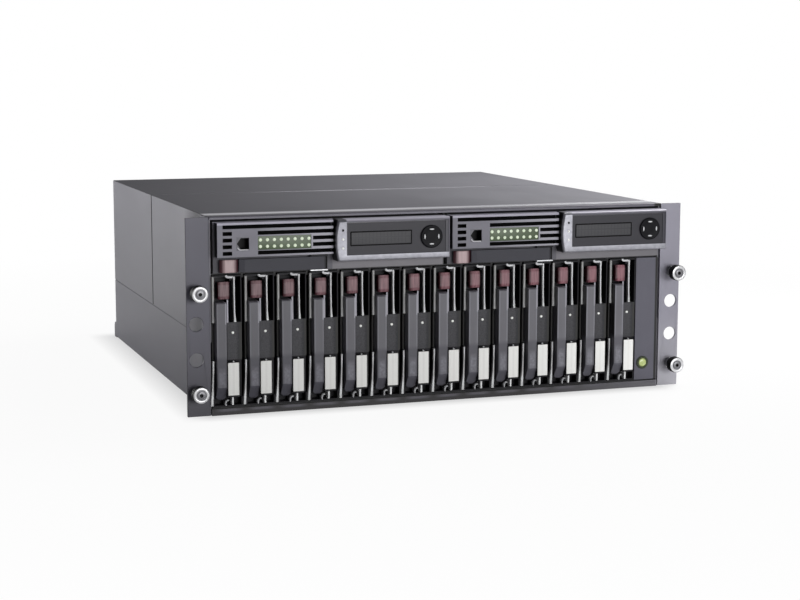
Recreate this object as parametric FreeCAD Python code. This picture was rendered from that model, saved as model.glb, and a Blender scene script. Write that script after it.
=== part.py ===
import FreeCAD, Part
import math
import os

# Rack storage enclosure: fourteen drives and two controllers plug in from the front of a folded shell,
# two power supplies and two connector modules from its rear.
# Millimetres, X to the right, Y to the rear, Z up. The origin is on the resting face, midway between the
# sides, in the plane where the ears meet the rack rails.

# Rack
unit_height = 44.45
ear_overhang = 20.8
ear_thickness = 2.5
ear_leg_depth = 24.0
ear_leg_thickness = 1.5
ear_lift = 0.3
rack_hole_inset = 8.75
ear_hole_radius = 6.3

# Thumbscrews
screw_head_radius = 7.5
screw_head_length = 8.5
screw_stand_off = 8.5
screw_neck_radius = 4.5
screw_neck_clearance = 0.25
screw_shank_radius = 3.0
screw_reach = 10.0

# Folded shell
sheet = 1.0
cover_sheet = 0.8
lap_clearance = 0.1
bend_radius = 1.2
flange_width = 9.0
seam_height = 65.0
joggle_height = 1.2
cover_split = 244.5
cover_gap = 2.2
strap_width = 16.0
front_lip_height = 6.0
hem_height = 2.6
rear_lip_depth = 10.0
rear_lip_height = 17.0
rear_lip_corner = 6.0

# Bays
drive_count = 14
bay_gap = 3.1
rib_clearance = 0.5
rib_height = 3.5
guide_base = 6.0
guide_front = 1.0
slide_clearance = 0.4
side_clearance = 0.5
shelf_sheet = 1.0
divider_sheet = 1.0
top_gap = 2.7

# Drive modules
carrier_side = 0.6
bezel_depth = 15.5
left_wall = 1.6
channel_width = 11.7
channel_depth = 10.0
centre_wall = 4.3
right_wall = 1.0
carrier_bar = 1.5
shield_step = 3.0
shield_sheet = 1.4
label_foot = 8.9
label_height = 31.0
label_margin = 2.1
label_groove = 2.2
label_pad_width = 10.2
label_proud = 8.0
label_rise = 1.1
label_gap = 0.3
block_height = 33.5
block_setback = 0.6
window_rib_offset = 2.6
disk_width = 101.6
disk_thickness = 25.4
disk_length = 147.0
disk_step = 4.0
disk_cover_inset = 3.0
rail_height = 8.1
rail_width = 21.0
connector_depth = 4.0
connector_width = 8.0
connector_height = 56.0
mating_gap = 0.3
light_pipe_width = 2.4

# Drive levers and latches
lever_width = 8.9
lever_clearance = 0.7
lever_proud = 6.5
lever_thickness = 13.4
lever_tip_thickness = 10.8
lever_heel_rise = 12.0
pivot_inset = 2.7
strip_proud = 0.3
lever_taper = 20.0
lever_chamfer = 1.2
lever_corner = 2.2
lever_hub_radius = 3.0
lever_foot = 6.6
pivot_radius = 1.2
pivot_clearance = 0.06
latch_width = 10.4
latch_height = 15.4
latch_drop = 6.0
latch_offset = 5.0
latch_proud = 0.9
latch_thickness = 4.5
latch_gap = 2.2
latch_crown = 0.9
latch_travel = 2.0
stem_width = 6.0
stem_height = 7.0
pocket_wall = 1.6
stem_clearance = 0.3

# Controllers
controller_count = 2
controller_clearance = 1.5
controller_height = 45.2
housing_sheet = 1.0
fascia_thickness = 3.0
bezel_inset = 1.8
bezel_proud = 9.5
bezel_gap = 0.4
bezel_foot_gap = 2.5
bezel_end = 4.9
bezel_rim = 1.6
bezel_top_gap = 0.2
slot_height = 2.8
slot_pitch = 5.8
slot_top_gap = 2.3
slot_rows = 5
slot_depth = 8.0
short_slot_width = 8.3
port_width = 11.4
port_height = 11.7
port_depth = 15.5
port_wall = 1.2
port_offset = 17.1
port_foot = 5.9
side_slot_width = 18.8
lamp_window_height = 12.0
lamp_window_offset = 36.5
lamp_window_depth = 1.2
pod_proud = 17.5
pod_height = 37.0
pod_width = 105.4
pod_bulge = 2.4
pod_rim = 2.9
pod_end = 4.2
pod_sill = 5.3
pod_cap = 7.6
pod_chamfer = 2.8
pod_face_recess = 0.8
display_width = 58.3
display_height = 13.2
display_offset = 3.0
display_foot = 8.0
display_step = 0.3
pad_radius = 10.4
pad_clearance = 0.1
pad_thickness = 1.6
pad_travel = 0.6
pad_from_right = 18.1
board_thickness = 1.6
board_foot = 8.0

# Controller levers and latches
arm_height = 11.4
arm_thickness = 4.6
arm_hub_radius = 2.5
arm_taper = 1.2
arm_grip = 5.0
arm_gap = 0.35
arm_side_gap = 0.25
arm_end_gap = 3.8
catch_inset = 5.0
lug_length = 16.0
lug_thickness = 1.0
lug_drop = 0.5
catch_width = 16.5
catch_gap = 1.0
catch_proud = 1.0
catch_round = 4.6
catch_fall = 2.4
catch_stem_width = 6.0
catch_stem_height = 6.0
catch_stem_length = 7.5

# Status panel
status_width = 22.7
status_gap = 0.8
status_wall = 1.8
status_depth = 12.0
lamp_radius = 5.0
lamp_side_offset = 8.2
lamp_foot = 16.6
lamp_proud = 0.8

# Rear modules
backplane_thickness = 2.4
rear_clearance = 3.0
supply_length = 281.0
supply_height = 116.0
supply_sheet = 1.2
module_side_gap = 4.0
module_top_gap = 8.7
module_sheet = 1.0
face_plate = 1.6
face_lap = 2.0
cut_clearance = 0.6
inlet_width = 27.6
inlet_height = 20.2
inlet_depth = 16.0
inlet_wall = 1.6
inlet_pin = 2.0
inlet_pin_length = 10.0
vent_slots = 9
vent_slot_width = 4.5
vent_slot_pitch = 10.5
vent_slot_height = 76.0
tab_width = 40.0
tab_depth = 8.0
tab_sheet = 1.6
shell_plug_width = 34.0
shell_plug_height = 9.0
shell_plug_depth = 6.0
shell_plugs = 2

# Places that follow from the sizes above
carrier_width = disk_thickness + 2 * carrier_side
pitch = carrier_width + bay_gap
drives_width = drive_count * carrier_width + (drive_count - 1) * bay_gap
inner_width = 2 * side_clearance + drives_width + status_gap + status_width
inner_half = inner_width / 2
lap = cover_sheet + lap_clearance
half_width = inner_half + sheet + lap
lower_half = half_width - sheet
front = -ear_thickness
bay_left = -inner_half + side_clearance
carrier_height = disk_width + 2 * rail_height
carrier_low = sheet + guide_base + slide_clearance
carrier_top = carrier_low + carrier_height
shelf_low = carrier_top + slide_clearance
shelf_top = shelf_low + shelf_sheet
controller_low = shelf_top + slide_clearance
controller_top = controller_low + controller_height
flange_top = controller_top + top_gap + sheet
shell_top = flange_top + lap
bezel_back = front + bezel_depth
disk_back = bezel_back + disk_length
plug_back = disk_back + connector_depth
socket_front = plug_back + mating_gap
backplane_front = socket_front + connector_depth
controller_length = plug_back - connector_depth
controller_width = inner_half - divider_sheet / 2 - 2 * controller_clearance
controller_pitch = divider_sheet + 2 * controller_clearance + controller_width
backplane_back = backplane_front + backplane_thickness
supply_front = backplane_back + rear_clearance
shell_back = supply_front + supply_length
supply_low = sheet + slide_clearance
supply_top = supply_low + supply_height
rear_shelf_low = supply_top + slide_clearance
module_low = rear_shelf_low + sheet + slide_clearance
module_height = flange_top - sheet - module_top_gap - module_low
lever_left = left_wall + lever_clearance
lever_front = front - lever_proud
pivot_y = front + pivot_inset
pivot_z = carrier_low + lever_foot + lever_hub_radius
latch_top = carrier_top - latch_drop
latch_low = latch_top - latch_height
lever_top = latch_low - latch_gap
recess_low = latch_low - stem_clearance
stem_length = bezel_depth + latch_proud - latch_thickness - latch_travel - stem_clearance - pocket_wall
label_width = carrier_width - left_wall - channel_width - label_margin
label_low = carrier_low + label_foot
label_top = label_low + label_height
block_low = label_top + label_groove
block_top = block_low + block_height

AXES = {"x": FreeCAD.Vector(1, 0, 0), "y": FreeCAD.Vector(0, 1, 0), "z": FreeCAD.Vector(0, 0, 1)}


def across(axis, a, b):
    """The point (a, b) in the plane through the origin across an axis."""
    if axis == "x":
        return FreeCAD.Vector(0, a, b)
    if axis == "y":
        return FreeCAD.Vector(a, 0, b)
    return FreeCAD.Vector(a, b, 0)


def outline(axis, corners):
    """A closed wire across an axis through corners (a, b) or (a, b, radius); a radius rounds its corner."""
    points = [across(axis, corner[0], corner[1]) for corner in corners]
    starts, ends, arcs = [], [], []
    for i, corner in enumerate(corners):
        here = points[i]
        if len(corner) == 2:
            starts.append(here)
            ends.append(here)
            arcs.append(None)
            continue
        radius = corner[2]
        before = points[i - 1] - here
        after = points[(i + 1) % len(points)] - here
        before.normalize()
        after.normalize()
        half = before.getAngle(after) / 2
        inward = before + after
        inward.normalize()
        reach = radius / math.tan(half)
        middle = here + inward * (radius / math.sin(half) - radius)
        starts.append(here + before * reach)
        ends.append(here + after * reach)
        arcs.append(Part.Arc(starts[-1], middle, ends[-1]))
    edges = []
    for i, arc in enumerate(arcs):
        if arc is not None:
            edges.append(arc.toShape())
        following = starts[(i + 1) % len(starts)]
        if ends[i].distanceToPoint(following) > 1e-6:
            edges.append(Part.LineSegment(ends[i], following).toShape())
    return Part.Wire(edges)


def prism(axis, span, corners):
    """The outline's face carried along its axis from span's first value to its second."""
    face = Part.Face(outline(axis, corners))
    face.translate(AXES[axis] * span[0])
    return face.extrude(AXES[axis] * (span[1] - span[0]))


def block(x, y, z):
    """A box between the low and high values of x, y and z."""
    return Part.makeBox(x[1] - x[0], y[1] - y[0], z[1] - z[0], FreeCAD.Vector(x[0], y[0], z[0]))


def rod(axis, radius, start, length):
    """A round bar of a length along an axis from a start point."""
    return Part.makeCylinder(radius, length, FreeCAD.Vector(*start), AXES[axis])


def around(centre, half):
    """The low and high values half a width either side of a centre."""
    return (centre - half, centre + half)


def moved(shapes, x=0.0, y=0.0, z=0.0):
    """Copies of shapes, shifted."""
    return [shape.translated(FreeCAD.Vector(x, y, z)) for shape in shapes]


def save(name, shapes):
    """Writes one node, as its solid or as a group of separate solids."""
    shape = shapes[0] if len(shapes) == 1 else Part.makeCompound(shapes)
    shape.exportStep("parts/" + name + ".step")


# Shell

def chassis_tub():
    """A folded tub: a U section with joggled sides and top flanges, a rear wall, shelf, straps and lips."""
    upper = half_width - lap
    step = seam_height + joggle_height
    outside = [
        (half_width, 0, bend_radius + sheet),
        (half_width, seam_height),
        (upper, step),
        (upper, flange_top),
        (upper - flange_width, flange_top),
    ]
    inside = [
        (upper - flange_width, flange_top - sheet),
        (inner_half, flange_top - sheet),
        (inner_half, step),
        (lower_half, seam_height),
        (lower_half, sheet, bend_radius),
    ]
    mirrored = [(-corner[0],) + corner[1:] for corner in reversed(outside + inside)]
    section = mirrored[5:] + outside + inside + mirrored[:5]
    tub = prism("y", (0, shell_back), section)
    wall = block((-inner_half, inner_half), (shell_back - sheet, shell_back), (sheet, flange_top))
    for side in (-1, 1):
        wall = wall.cut(supply_opening(side)).cut(module_opening(side))
    shelf_span = (backplane_back + rear_clearance, shell_back)
    shelf = block((-inner_half, inner_half), shelf_span, (rear_shelf_low, rear_shelf_low + sheet))
    pieces = [wall, shelf, front_lip()] + rear_lip()
    for start in (0, cover_split - strap_width / 2, shell_back - strap_width):
        span = (start, start + strap_width)
        pieces.append(block((-inner_half, inner_half), span, (flange_top - sheet, flange_top)))
    return tub.multiFuse(pieces).removeSplitter()


def front_lip():
    """The floor carried forward to the ear fronts and turned up below the drives."""
    corners = [
        (front, 0),
        (sheet, 0),
        (sheet, sheet),
        (front + sheet, sheet),
        (front + sheet, front_lip_height),
        (front, front_lip_height),
    ]
    return prism("x", (-lower_half, lower_half), corners)


def rear_lip():
    """The floor and low rounded cheeks carried past the rear wall."""
    reach = shell_back + rear_lip_depth
    cheek = [
        (shell_back - sheet, 0),
        (reach, 0),
        (reach, rear_lip_height, rear_lip_corner),
        (shell_back - sheet, rear_lip_height),
    ]
    pieces = [block((-lower_half, lower_half), (shell_back - sheet, reach), (0, sheet))]
    pieces.append(prism("x", (-half_width, -lower_half), cheek))
    pieces.append(prism("x", (lower_half, half_width), cheek))
    return pieces


def module_span(side):
    """The width of the rear module on a side, from the middle post to the wall."""
    inner, outer = module_side_gap / 2, inner_half - module_side_gap
    return (inner, outer) if side > 0 else (-outer, -inner)


def supply_opening(side):
    """The cut in the rear wall that a power supply slides through."""
    low, high = module_span(side)
    x = (low - cut_clearance, high + cut_clearance)
    return block(x, (shell_back - 2 * sheet, shell_back + sheet), (sheet, supply_top + slide_clearance))


def module_opening(side):
    """The cut in the rear wall behind a connector module's face plate."""
    low, high = module_span(side)
    x = (low - cut_clearance, high + cut_clearance)
    z = (module_low - slide_clearance, module_low + module_height + cut_clearance)
    return block(x, (shell_back - 2 * sheet, shell_back + sheet), z)


def cover(span):
    """A folded cover: an inverted U whose skirts lap the joggled sides."""
    skirt = seam_height + joggle_height
    inside = half_width - cover_sheet
    section = [
        (half_width, skirt),
        (half_width, shell_top, cover_sheet),
        (-half_width, shell_top, cover_sheet),
        (-half_width, skirt),
        (-inside, skirt),
        (-inside, shell_top - cover_sheet),
        (inside, shell_top - cover_sheet),
        (inside, skirt),
    ]
    return prism("y", span, section)


def top_covers():
    """The front cover with its rolled front edge, and the rear cover."""
    hem = [
        (sheet, shell_top),
        (front, shell_top, bend_radius),
        (front, shell_top - hem_height),
        (front + cover_sheet, shell_top - hem_height),
        (front + cover_sheet, shell_top - cover_sheet),
        (sheet, shell_top - cover_sheet),
    ]
    reach = half_width - cover_sheet
    forward = cover((0, cover_split - cover_gap / 2)).fuse(prism("x", (-reach, reach), hem))
    return [forward.removeSplitter(), cover((cover_split + cover_gap / 2, shell_back))]


def rack_places(units):
    """Both ears' hole centres at heights counted in rack units."""
    reach = half_width + ear_overhang - rack_hole_inset
    return [(side * reach, unit * unit_height) for side in (-1, 1) for unit in units]


# The middle holes of the lowest and third unit take the screws, the outer holes of the second stay open
screw_units = (0.5, 2.5)
open_units = (8 / 7, 13 / 7)


def rack_ears():
    """Two angle plates with screw holes and open holes."""
    ears = []
    for side in (-1, 1):
        inner = side * half_width
        outer = side * (half_width + ear_overhang)
        leg = side * (half_width + ear_leg_thickness)
        section = [
            (inner, front),
            (outer, front),
            (outer, 0),
            (leg, 0),
            (leg, ear_leg_depth),
            (inner, ear_leg_depth),
        ]
        ear = prism("z", (ear_lift, shell_top - ear_lift), section)
        neck_hole = screw_neck_radius + screw_neck_clearance
        for units, radius in ((screw_units, neck_hole), (open_units, ear_hole_radius)):
            for x, z in rack_places(units):
                if x * side > 0:
                    ear = ear.cut(rod("y", radius, (x, front - sheet, z), ear_thickness + 2 * sheet))
        ears.append(ear)
    return ears


def thumbscrews():
    """Four captive screws: a broad head on a neck through the ear, and a shank behind it."""
    head_back = front - screw_stand_off
    head_front = head_back - screw_head_length
    profile = [
        (0, head_front),
        (screw_head_radius, head_front),
        (screw_head_radius, head_back),
        (screw_neck_radius, head_back),
        (screw_neck_radius, 0),
        (screw_shank_radius, 0),
        (screw_shank_radius, screw_reach),
        (0, screw_reach),
    ]
    face = Part.Face(outline("z", profile))
    screw = face.revolve(FreeCAD.Vector(0, 0, 0), AXES["y"], 360)
    return [screw.translated(FreeCAD.Vector(x, 0, z)) for x, z in rack_places(screw_units)]


# Bays

def gap_centres():
    """The middle of each gap between neighbouring drives."""
    return [bay_left + pitch * i - bay_gap / 2 for i in range(1, drive_count)]


def drive_guides():
    """Comb-shaped trays above and below the drives; the upper one carries the controllers' divider."""
    half_rib = bay_gap / 2 - rib_clearance
    base_top = sheet + guide_base
    flat = lower_half - bend_radius
    lower = [(-flat, base_top), (-flat, sheet), (flat, sheet), (flat, base_top)]
    upper = [
        (inner_half, shelf_low),
        (inner_half, shelf_top),
        (divider_sheet / 2, shelf_top),
        (divider_sheet / 2, flange_top - sheet),
        (-divider_sheet / 2, flange_top - sheet),
        (-divider_sheet / 2, shelf_top),
        (-inner_half, shelf_top),
        (-inner_half, shelf_low),
    ]
    for x in reversed(gap_centres()):
        rib = base_top + rib_height
        left, right = around(x, half_rib)
        lower += [(right, base_top), (right, rib), (left, rib), (left, base_top)]
    for x in gap_centres():
        rib = shelf_low - rib_height
        left, right = around(x, half_rib)
        upper += [(left, shelf_low), (left, rib), (right, rib), (right, shelf_low)]
    span = (guide_front, disk_back)
    return [prism("y", span, lower), prism("y", span, upper)]


def bay_centre(i):
    """The middle of drive bay i."""
    return bay_left + pitch * i + carrier_width / 2


def controller_centre(k):
    """The middle of controller bay k."""
    return (k - (controller_count - 1) / 2) * controller_pitch


def backplane():
    """The board that drives and controllers plug into, with one socket for each."""
    x = (-inner_half + lap_clearance, inner_half - lap_clearance)
    pieces = [block(x, (backplane_front, backplane_back), (sheet, controller_top))]
    y = (socket_front, backplane_front)
    middle = carrier_low + carrier_height / 2
    for i in range(drive_count):
        x = around(bay_centre(i), connector_width / 2)
        pieces.append(block(x, y, around(middle, connector_height / 2)))
    for k in range(controller_count):
        x = around(controller_centre(k), connector_height / 2)
        pieces.append(block(x, y, around(controller_low + board_foot, connector_width / 2)))
    return pieces


# Drive modules

def drive_carrier():
    """The first bay's carrier: moulded bezel with rails, shield strips, light pipe and disk."""
    left = bay_left
    right = left + carrier_width
    channel = left + left_wall
    middle = channel + channel_width
    window = middle + centre_wall
    deep = front + channel_depth
    strip_back = front + shield_step
    low = carrier_low + carrier_bar
    high = carrier_top - carrier_bar
    recess_right = left + latch_offset + latch_width + stem_clearance

    bezel = block((left, right), (front, bezel_back), (carrier_low, carrier_top))
    cuts = [
        block((channel, middle), (front, deep), (low, recess_low)),
        block((channel, recess_right), (front, deep), (recess_low, high)),
        block((window, right - right_wall), (front, bezel_back), (block_top, high)),
        block((middle, right), (front, front + block_setback), (block_low, block_top)),
        block((middle, middle + label_width), (front, strip_back), (label_top, block_low)),
        block((middle, right - right_wall), (front, deep), (low, label_low)),
        block((middle + label_width, right), (front, strip_back), (label_low, block_low)),
        block((left, channel), (front, strip_back), (low, high)),
        latch_pocket(left),
    ]
    for cut in cuts:
        bezel = bezel.cut(cut)
    body = bezel.multiFuse([hinge_bar(channel), label_pad()] + carrier_rails()).removeSplitter()
    return [body] + shield_strips(left, middle, window) + [light_pipe(middle), disk(left)]


def hinge_bar(channel):
    """A half-round bar moulded across the channel, on which the lever turns."""
    section = [
        (pivot_y - pivot_radius, pivot_z),
        (pivot_y + pivot_radius, pivot_z),
        (pivot_y + pivot_radius, pivot_z + pivot_radius, pivot_radius),
        (pivot_y - pivot_radius, pivot_z + pivot_radius, pivot_radius),
    ]
    return prism("x", (channel, channel + channel_width), section)


def label_pad():
    """The raised pad beside the lever that carries the label."""
    x = bay_left + lever_left + lever_width + label_gap
    y = (front - label_proud, front)
    return block((x, x + label_pad_width), y, (label_low + label_rise, label_top + label_rise))


def latch_pocket(left):
    """The blind pocket behind the latch that its stem runs in."""
    stem = latch_stem(left)
    box = stem.BoundBox
    x = (box.XMin - stem_clearance, box.XMax + stem_clearance)
    z = (box.ZMin - stem_clearance, box.ZMax + stem_clearance)
    return block(x, (front + channel_depth, box.YMax + latch_travel + stem_clearance), z)


def carrier_rails():
    """Rails under and over the disk, carried back from the bezel."""
    x = around(bay_left + carrier_width / 2, rail_width / 2)
    y = (bezel_back, disk_back)
    lower = block(x, y, (carrier_low, carrier_low + rail_height))
    upper = block(x, y, (carrier_top - rail_height, carrier_top))
    return [lower, upper]


def shield_strips(left, middle, window):
    """Bright strips: two on the left wall, one beside the lever, one in the window, two at the foot."""
    strip_back = front + shield_step
    low = carrier_low + carrier_bar
    high = carrier_top - carrier_bar
    edge = (left, left + shield_sheet)
    rib = window + window_rib_offset
    post = middle + channel_width / 2 - shield_sheet
    hook = middle - lever_clearance - 2 * shield_sheet
    deep = front + channel_depth
    return [
        block(edge, (front, strip_back), (block_top, high)),
        block(edge, (front, strip_back), (low, block_low)),
        block((middle, middle + shield_sheet), (front - strip_proud, front), (block_top, recess_low)),
        block((rib, rib + shield_sheet), (front + block_setback, bezel_back), (block_top, high)),
        block((post, post + shield_sheet), (front + block_setback, deep), (low, label_low)),
        block((hook, middle), (strip_back, deep), (low, low + shield_step)),
    ]


def light_pipe(middle):
    """A clear stub on the block that shows the drive's state."""
    x = middle + (bay_left + carrier_width - middle) / 2 - light_pipe_width / 2
    z = block_top - label_foot
    half = light_pipe_width / 2
    return block(around(x, half), (front, front + block_setback), around(z, half))


def disk(left):
    """A disk drive on edge between the rails: cast base, stepped cover, and rear plug."""
    x = left + (carrier_width - disk_thickness) / 2
    low = carrier_low + rail_height
    section = [
        (x, low),
        (x + disk_thickness - disk_step, low),
        (x + disk_thickness, low + disk_cover_inset),
        (x + disk_thickness, low + disk_width - disk_cover_inset),
        (x + disk_thickness - disk_step, low + disk_width),
        (x, low + disk_width),
    ]
    body = prism("y", (bezel_back, disk_back), section)
    plug = block(
        around(left + carrier_width / 2, connector_width / 2),
        (disk_back, plug_back),
        around(low + disk_width / 2, connector_height / 2),
    )
    return body.fuse(plug)


def drive_lever():
    """The first bay's lever: a proud bar, thinner to its tip, whose foot hooks over the hinge bar."""
    x = bay_left + lever_left
    back = lever_front + lever_thickness
    tip = lever_front + lever_tip_thickness
    foot = pivot_z - lever_hub_radius
    heel = pivot_y - lever_hub_radius
    bore = pivot_radius + pivot_clearance
    profile = [
        (lever_front, lever_top - lever_chamfer),
        (lever_front + lever_chamfer, lever_top),
        (tip, lever_top),
        (back, lever_top - lever_taper),
        (back, foot + lever_chamfer),
        (back - lever_chamfer, foot),
        (pivot_y + bore, foot),
        (pivot_y + bore, pivot_z + bore, bore),
        (pivot_y - bore, pivot_z + bore, bore),
        (pivot_y - bore, foot),
        (heel + lever_chamfer, foot),
        (heel, foot + lever_chamfer),
        (lever_front, foot + lever_heel_rise),
    ]
    right = x + lever_width
    front_view = [
        (x, lever_top),
        (x, foot + lever_corner),
        (x + lever_corner, foot),
        (right - lever_corner, foot),
        (right, foot + lever_corner),
        (right, lever_top),
    ]
    return [prism("x", (x, right), profile).common(prism("y", (lever_front, back), front_view))]


def latch_stem(left):
    """The latch's square stem."""
    x = left + latch_offset + latch_width / 2
    back = front - latch_proud + latch_thickness
    z = (latch_low + latch_top) / 2
    return block(around(x, stem_width / 2), (back, back + stem_length), around(z, stem_height / 2))


def drive_latch():
    """The first bay's latch: a crowned button on its stem."""
    x = bay_left + latch_offset
    face = front - latch_proud
    back = face + latch_thickness
    profile = [
        (back, latch_low),
        (back, latch_top),
        (face + latch_crown, latch_top),
        (face, latch_top - 3 * latch_crown),
        (face, latch_low + 3 * latch_crown),
        (face + latch_crown, latch_low),
    ]
    button = prism("x", (x, x + latch_width), profile)
    return [button.fuse(latch_stem(bay_left)).removeSplitter()]


# Controllers

fascia_front = -fascia_thickness
bezel_face = fascia_front - bezel_proud
pod_face = front - pod_proud
pod_top = controller_top
pod_low = pod_top - pod_height
arm_low = controller_low - lug_drop + lug_thickness + arm_side_gap
arm_top = arm_low + arm_height
bezel_low = arm_top + bezel_foot_gap
bezel_top = controller_top - bezel_top_gap
arm_back = fascia_front - arm_gap
arm_front = arm_back - arm_thickness
arm_pivot_y = arm_back - arm_hub_radius
arm_chamfer = arm_hub_radius * (2 - math.sqrt(2))
catch_back = fascia_front - latch_travel - stem_clearance
board_front = catch_back + catch_stem_length + latch_travel + stem_clearance


def controller_left(k):
    """The left side of controller k's housing."""
    return controller_centre(k) - controller_width / 2


def bezel_span(k):
    """The width of the vented bezel, left of the display pod."""
    return (controller_left(k) + bezel_inset, pod_span(k)[0] - pod_bulge - bezel_gap)


def pod_span(k):
    """The width of the display pod's straight part, to the right end of the controller."""
    right = controller_left(k) + controller_width + side_clearance
    return (right - pod_width, right)


def arm_pivot_x(k):
    """The controller lever's hinge, near its right end."""
    return arm_span(k)[1] - arm_hub_radius


def catch_span(k):
    """The width of the controller's latch button, under the bezel's left end."""
    left = controller_left(k) + catch_inset
    return (left, left + catch_width)


def arm_span(k):
    """The width of the controller's lever, from its latch to just short of the bezel's right end."""
    return (catch_span(k)[1] + catch_gap, bezel_span(k)[1] - arm_end_gap)


def controller_housing(k):
    """A folded tube with a thick fascia, the vented bezel, and the lever's hinge lugs with their pin."""
    left = controller_left(k)
    right = left + controller_width
    z = (controller_low, controller_top)
    tube = block((left, right), (fascia_front, controller_length), z)
    hollow = block(
        (left + housing_sheet, right - housing_sheet),
        (0, controller_length + sheet),
        (controller_low + housing_sheet, controller_top - housing_sheet),
    )
    bezel = block(bezel_span(k), (bezel_face, fascia_front), (bezel_low, bezel_top))
    tube = tube.cut(hollow).fuse(bezel).fuse(port_cup(k))
    for cut in bezel_cuts(k) + [catch_hole(k)]:
        tube = tube.cut(cut)
    x = arm_pivot_x(k)
    lug_x = (x + arm_hub_radius - lug_length, x + arm_hub_radius)
    y = (arm_front, fascia_front + sheet)
    lower = block(lug_x, y, (arm_low - arm_side_gap - lug_thickness, arm_low - arm_side_gap))
    upper = block(lug_x, y, (arm_top + arm_side_gap, bezel_low + sheet))
    pin = rod("z", pivot_radius, (x, arm_pivot_y, arm_low - arm_side_gap), arm_height + 2 * arm_side_gap)
    return tube.multiFuse([lower, upper, pin]).removeSplitter()


def bezel_cuts(k):
    """Rows of vent slots open to the right, the console port's pocket and the lamp window's recess."""
    left, right = bezel_span(k)
    y = (bezel_face, bezel_face + slot_depth)
    slot_left = left + bezel_end
    slot_right = right + bezel_gap
    lamps = lamp_window_span(k)
    cuts = []
    for row in range(slot_rows):
        top = bezel_top - slot_top_gap - slot_pitch * row
        z = (top - slot_height, top)
        beside = lamps[0] if row in (1, slot_rows - 1) else lamps[1] + bezel_rim
        spans = [(slot_left, slot_left + short_slot_width), (beside, slot_right)]
        if row == 0:
            spans = [(slot_left, slot_right)]
        cuts += [block(x, y, z) for x in spans]
    cuts.append(block(*port_box(k)))
    z = lamp_window_height_span()
    cuts.append(block(lamps, (bezel_face, bezel_face + lamp_window_depth), z))
    return cuts


def port_box(k):
    """The console port's pocket, as x, y and z spans."""
    left = bezel_span(k)[0] + port_offset
    low = bezel_low + port_foot
    return ((left, left + port_width), (bezel_face, bezel_face + port_depth), (low, low + port_height))


def port_cup(k):
    """The walls round the console port, behind the fascia."""
    x, y, z = port_box(k)
    return block(
        (x[0] - port_wall, x[1] + port_wall),
        (fascia_front, y[1] + port_wall),
        (z[0] - port_wall, z[1] + port_wall),
    )


def lamp_window_span(k):
    """The width of the lamp window."""
    left, right = bezel_span(k)
    return (left + lamp_window_offset, right - side_slot_width - bezel_rim)


def lamp_window_height_span():
    """The height of the lamp window, level with the console port's foot."""
    low = bezel_low + port_foot
    return (low, low + lamp_window_height)


def catch_hole(k):
    """The hole in the fascia that the controller latch's stem runs in."""
    box = catch_stem(k).BoundBox
    x = (box.XMin - stem_clearance, box.XMax + stem_clearance)
    z = (box.ZMin - stem_clearance, box.ZMax + stem_clearance)
    return block(x, (fascia_front, sheet), z)


def catch_stem(k):
    """The controller latch's square stem."""
    x = sum(catch_span(k)) / 2
    z = (arm_low + arm_top) / 2
    y = (catch_back, catch_back + catch_stem_length)
    return block(around(x, catch_stem_width / 2), y, around(z, catch_stem_height / 2))


def display_pod(k):
    """The display's housing: its left end bows out, and its face lies in a recess framed by a rim."""
    left, right = pod_span(k)
    middle = (pod_low + pod_top) / 2
    bow = [(left, pod_top), (left - pod_bulge, middle), (left, pod_low)]
    corners = [across("y", *place) for place in bow]
    far = [across("y", right, pod_low), across("y", right, pod_top)]
    edges = [
        Part.Arc(*corners).toShape(),
        Part.LineSegment(corners[2], far[0]).toShape(),
        Part.LineSegment(far[0], far[1]).toShape(),
        Part.LineSegment(far[1], corners[0]).toShape(),
    ]
    face = Part.Face(Part.Wire(edges))
    face.translate(AXES["y"] * pod_face)
    pod = face.extrude(AXES["y"] * (fascia_front - pod_face))
    rim = [edge for edge in pod.Edges if edge.BoundBox.YMax < pod_face + sheet / 2]
    x, z = pod_recess(k)
    return pod.makeChamfer(pod_chamfer, rim).cut(block(x, (pod_face, pod_face + pod_face_recess), z))


def pod_recess(k):
    """The x and z spans of the dark face on the pod."""
    left, right = pod_span(k)
    return (left + pod_cap, right - pod_end), (pod_low + pod_sill, pod_top - pod_rim)


def pad_centre(k):
    """The middle of the direction pad."""
    x, z = pod_recess(k)
    return pod_span(k)[1] - pad_from_right, (z[0] + z[1]) / 2


def display_window(k):
    """The display's window on the pod's face."""
    x, z = pod_recess(k)
    left = x[0] + display_offset
    low = z[0] + display_foot
    back = pod_face + pod_face_recess
    return block((left, left + display_width), (back - display_step, back), (low, low + display_height))


def lamp_window(k):
    """The window over the controller's lamps."""
    y = (bezel_face + lamp_window_depth / 2, bezel_face + lamp_window_depth)
    return block(lamp_window_span(k), y, lamp_window_height_span())


def controller_board(k):
    """The controller's circuit board with its rear plug."""
    left = controller_left(k) + housing_sheet + arm_side_gap
    right = controller_left(k) + controller_width - housing_sheet - arm_side_gap
    low = controller_low + board_foot
    board = block((left, right), (board_front, controller_length), (low, low + board_thickness))
    plug = block(
        around(controller_centre(k), connector_height / 2),
        (controller_length, plug_back),
        around(low, connector_width / 2),
    )
    return board.fuse(plug)


def controller_lever(k):
    """A swing arm bored for its pin, with chamfered ends."""
    x = arm_pivot_x(k)
    left, right = arm_span(k)
    profile = [
        (left, arm_front + arm_taper),
        (left + arm_grip, arm_front),
        (right - arm_chamfer, arm_front),
        (right, arm_front + arm_chamfer),
        (right, arm_back - arm_chamfer),
        (right - arm_chamfer, arm_back),
        (left, arm_back),
    ]
    arm = prism("z", (arm_low, arm_top), profile)
    start = (x, arm_pivot_y, arm_low - sheet)
    bore = rod("z", pivot_radius + pivot_clearance, start, arm_height + 2 * sheet)
    return [arm.cut(bore)]


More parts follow.
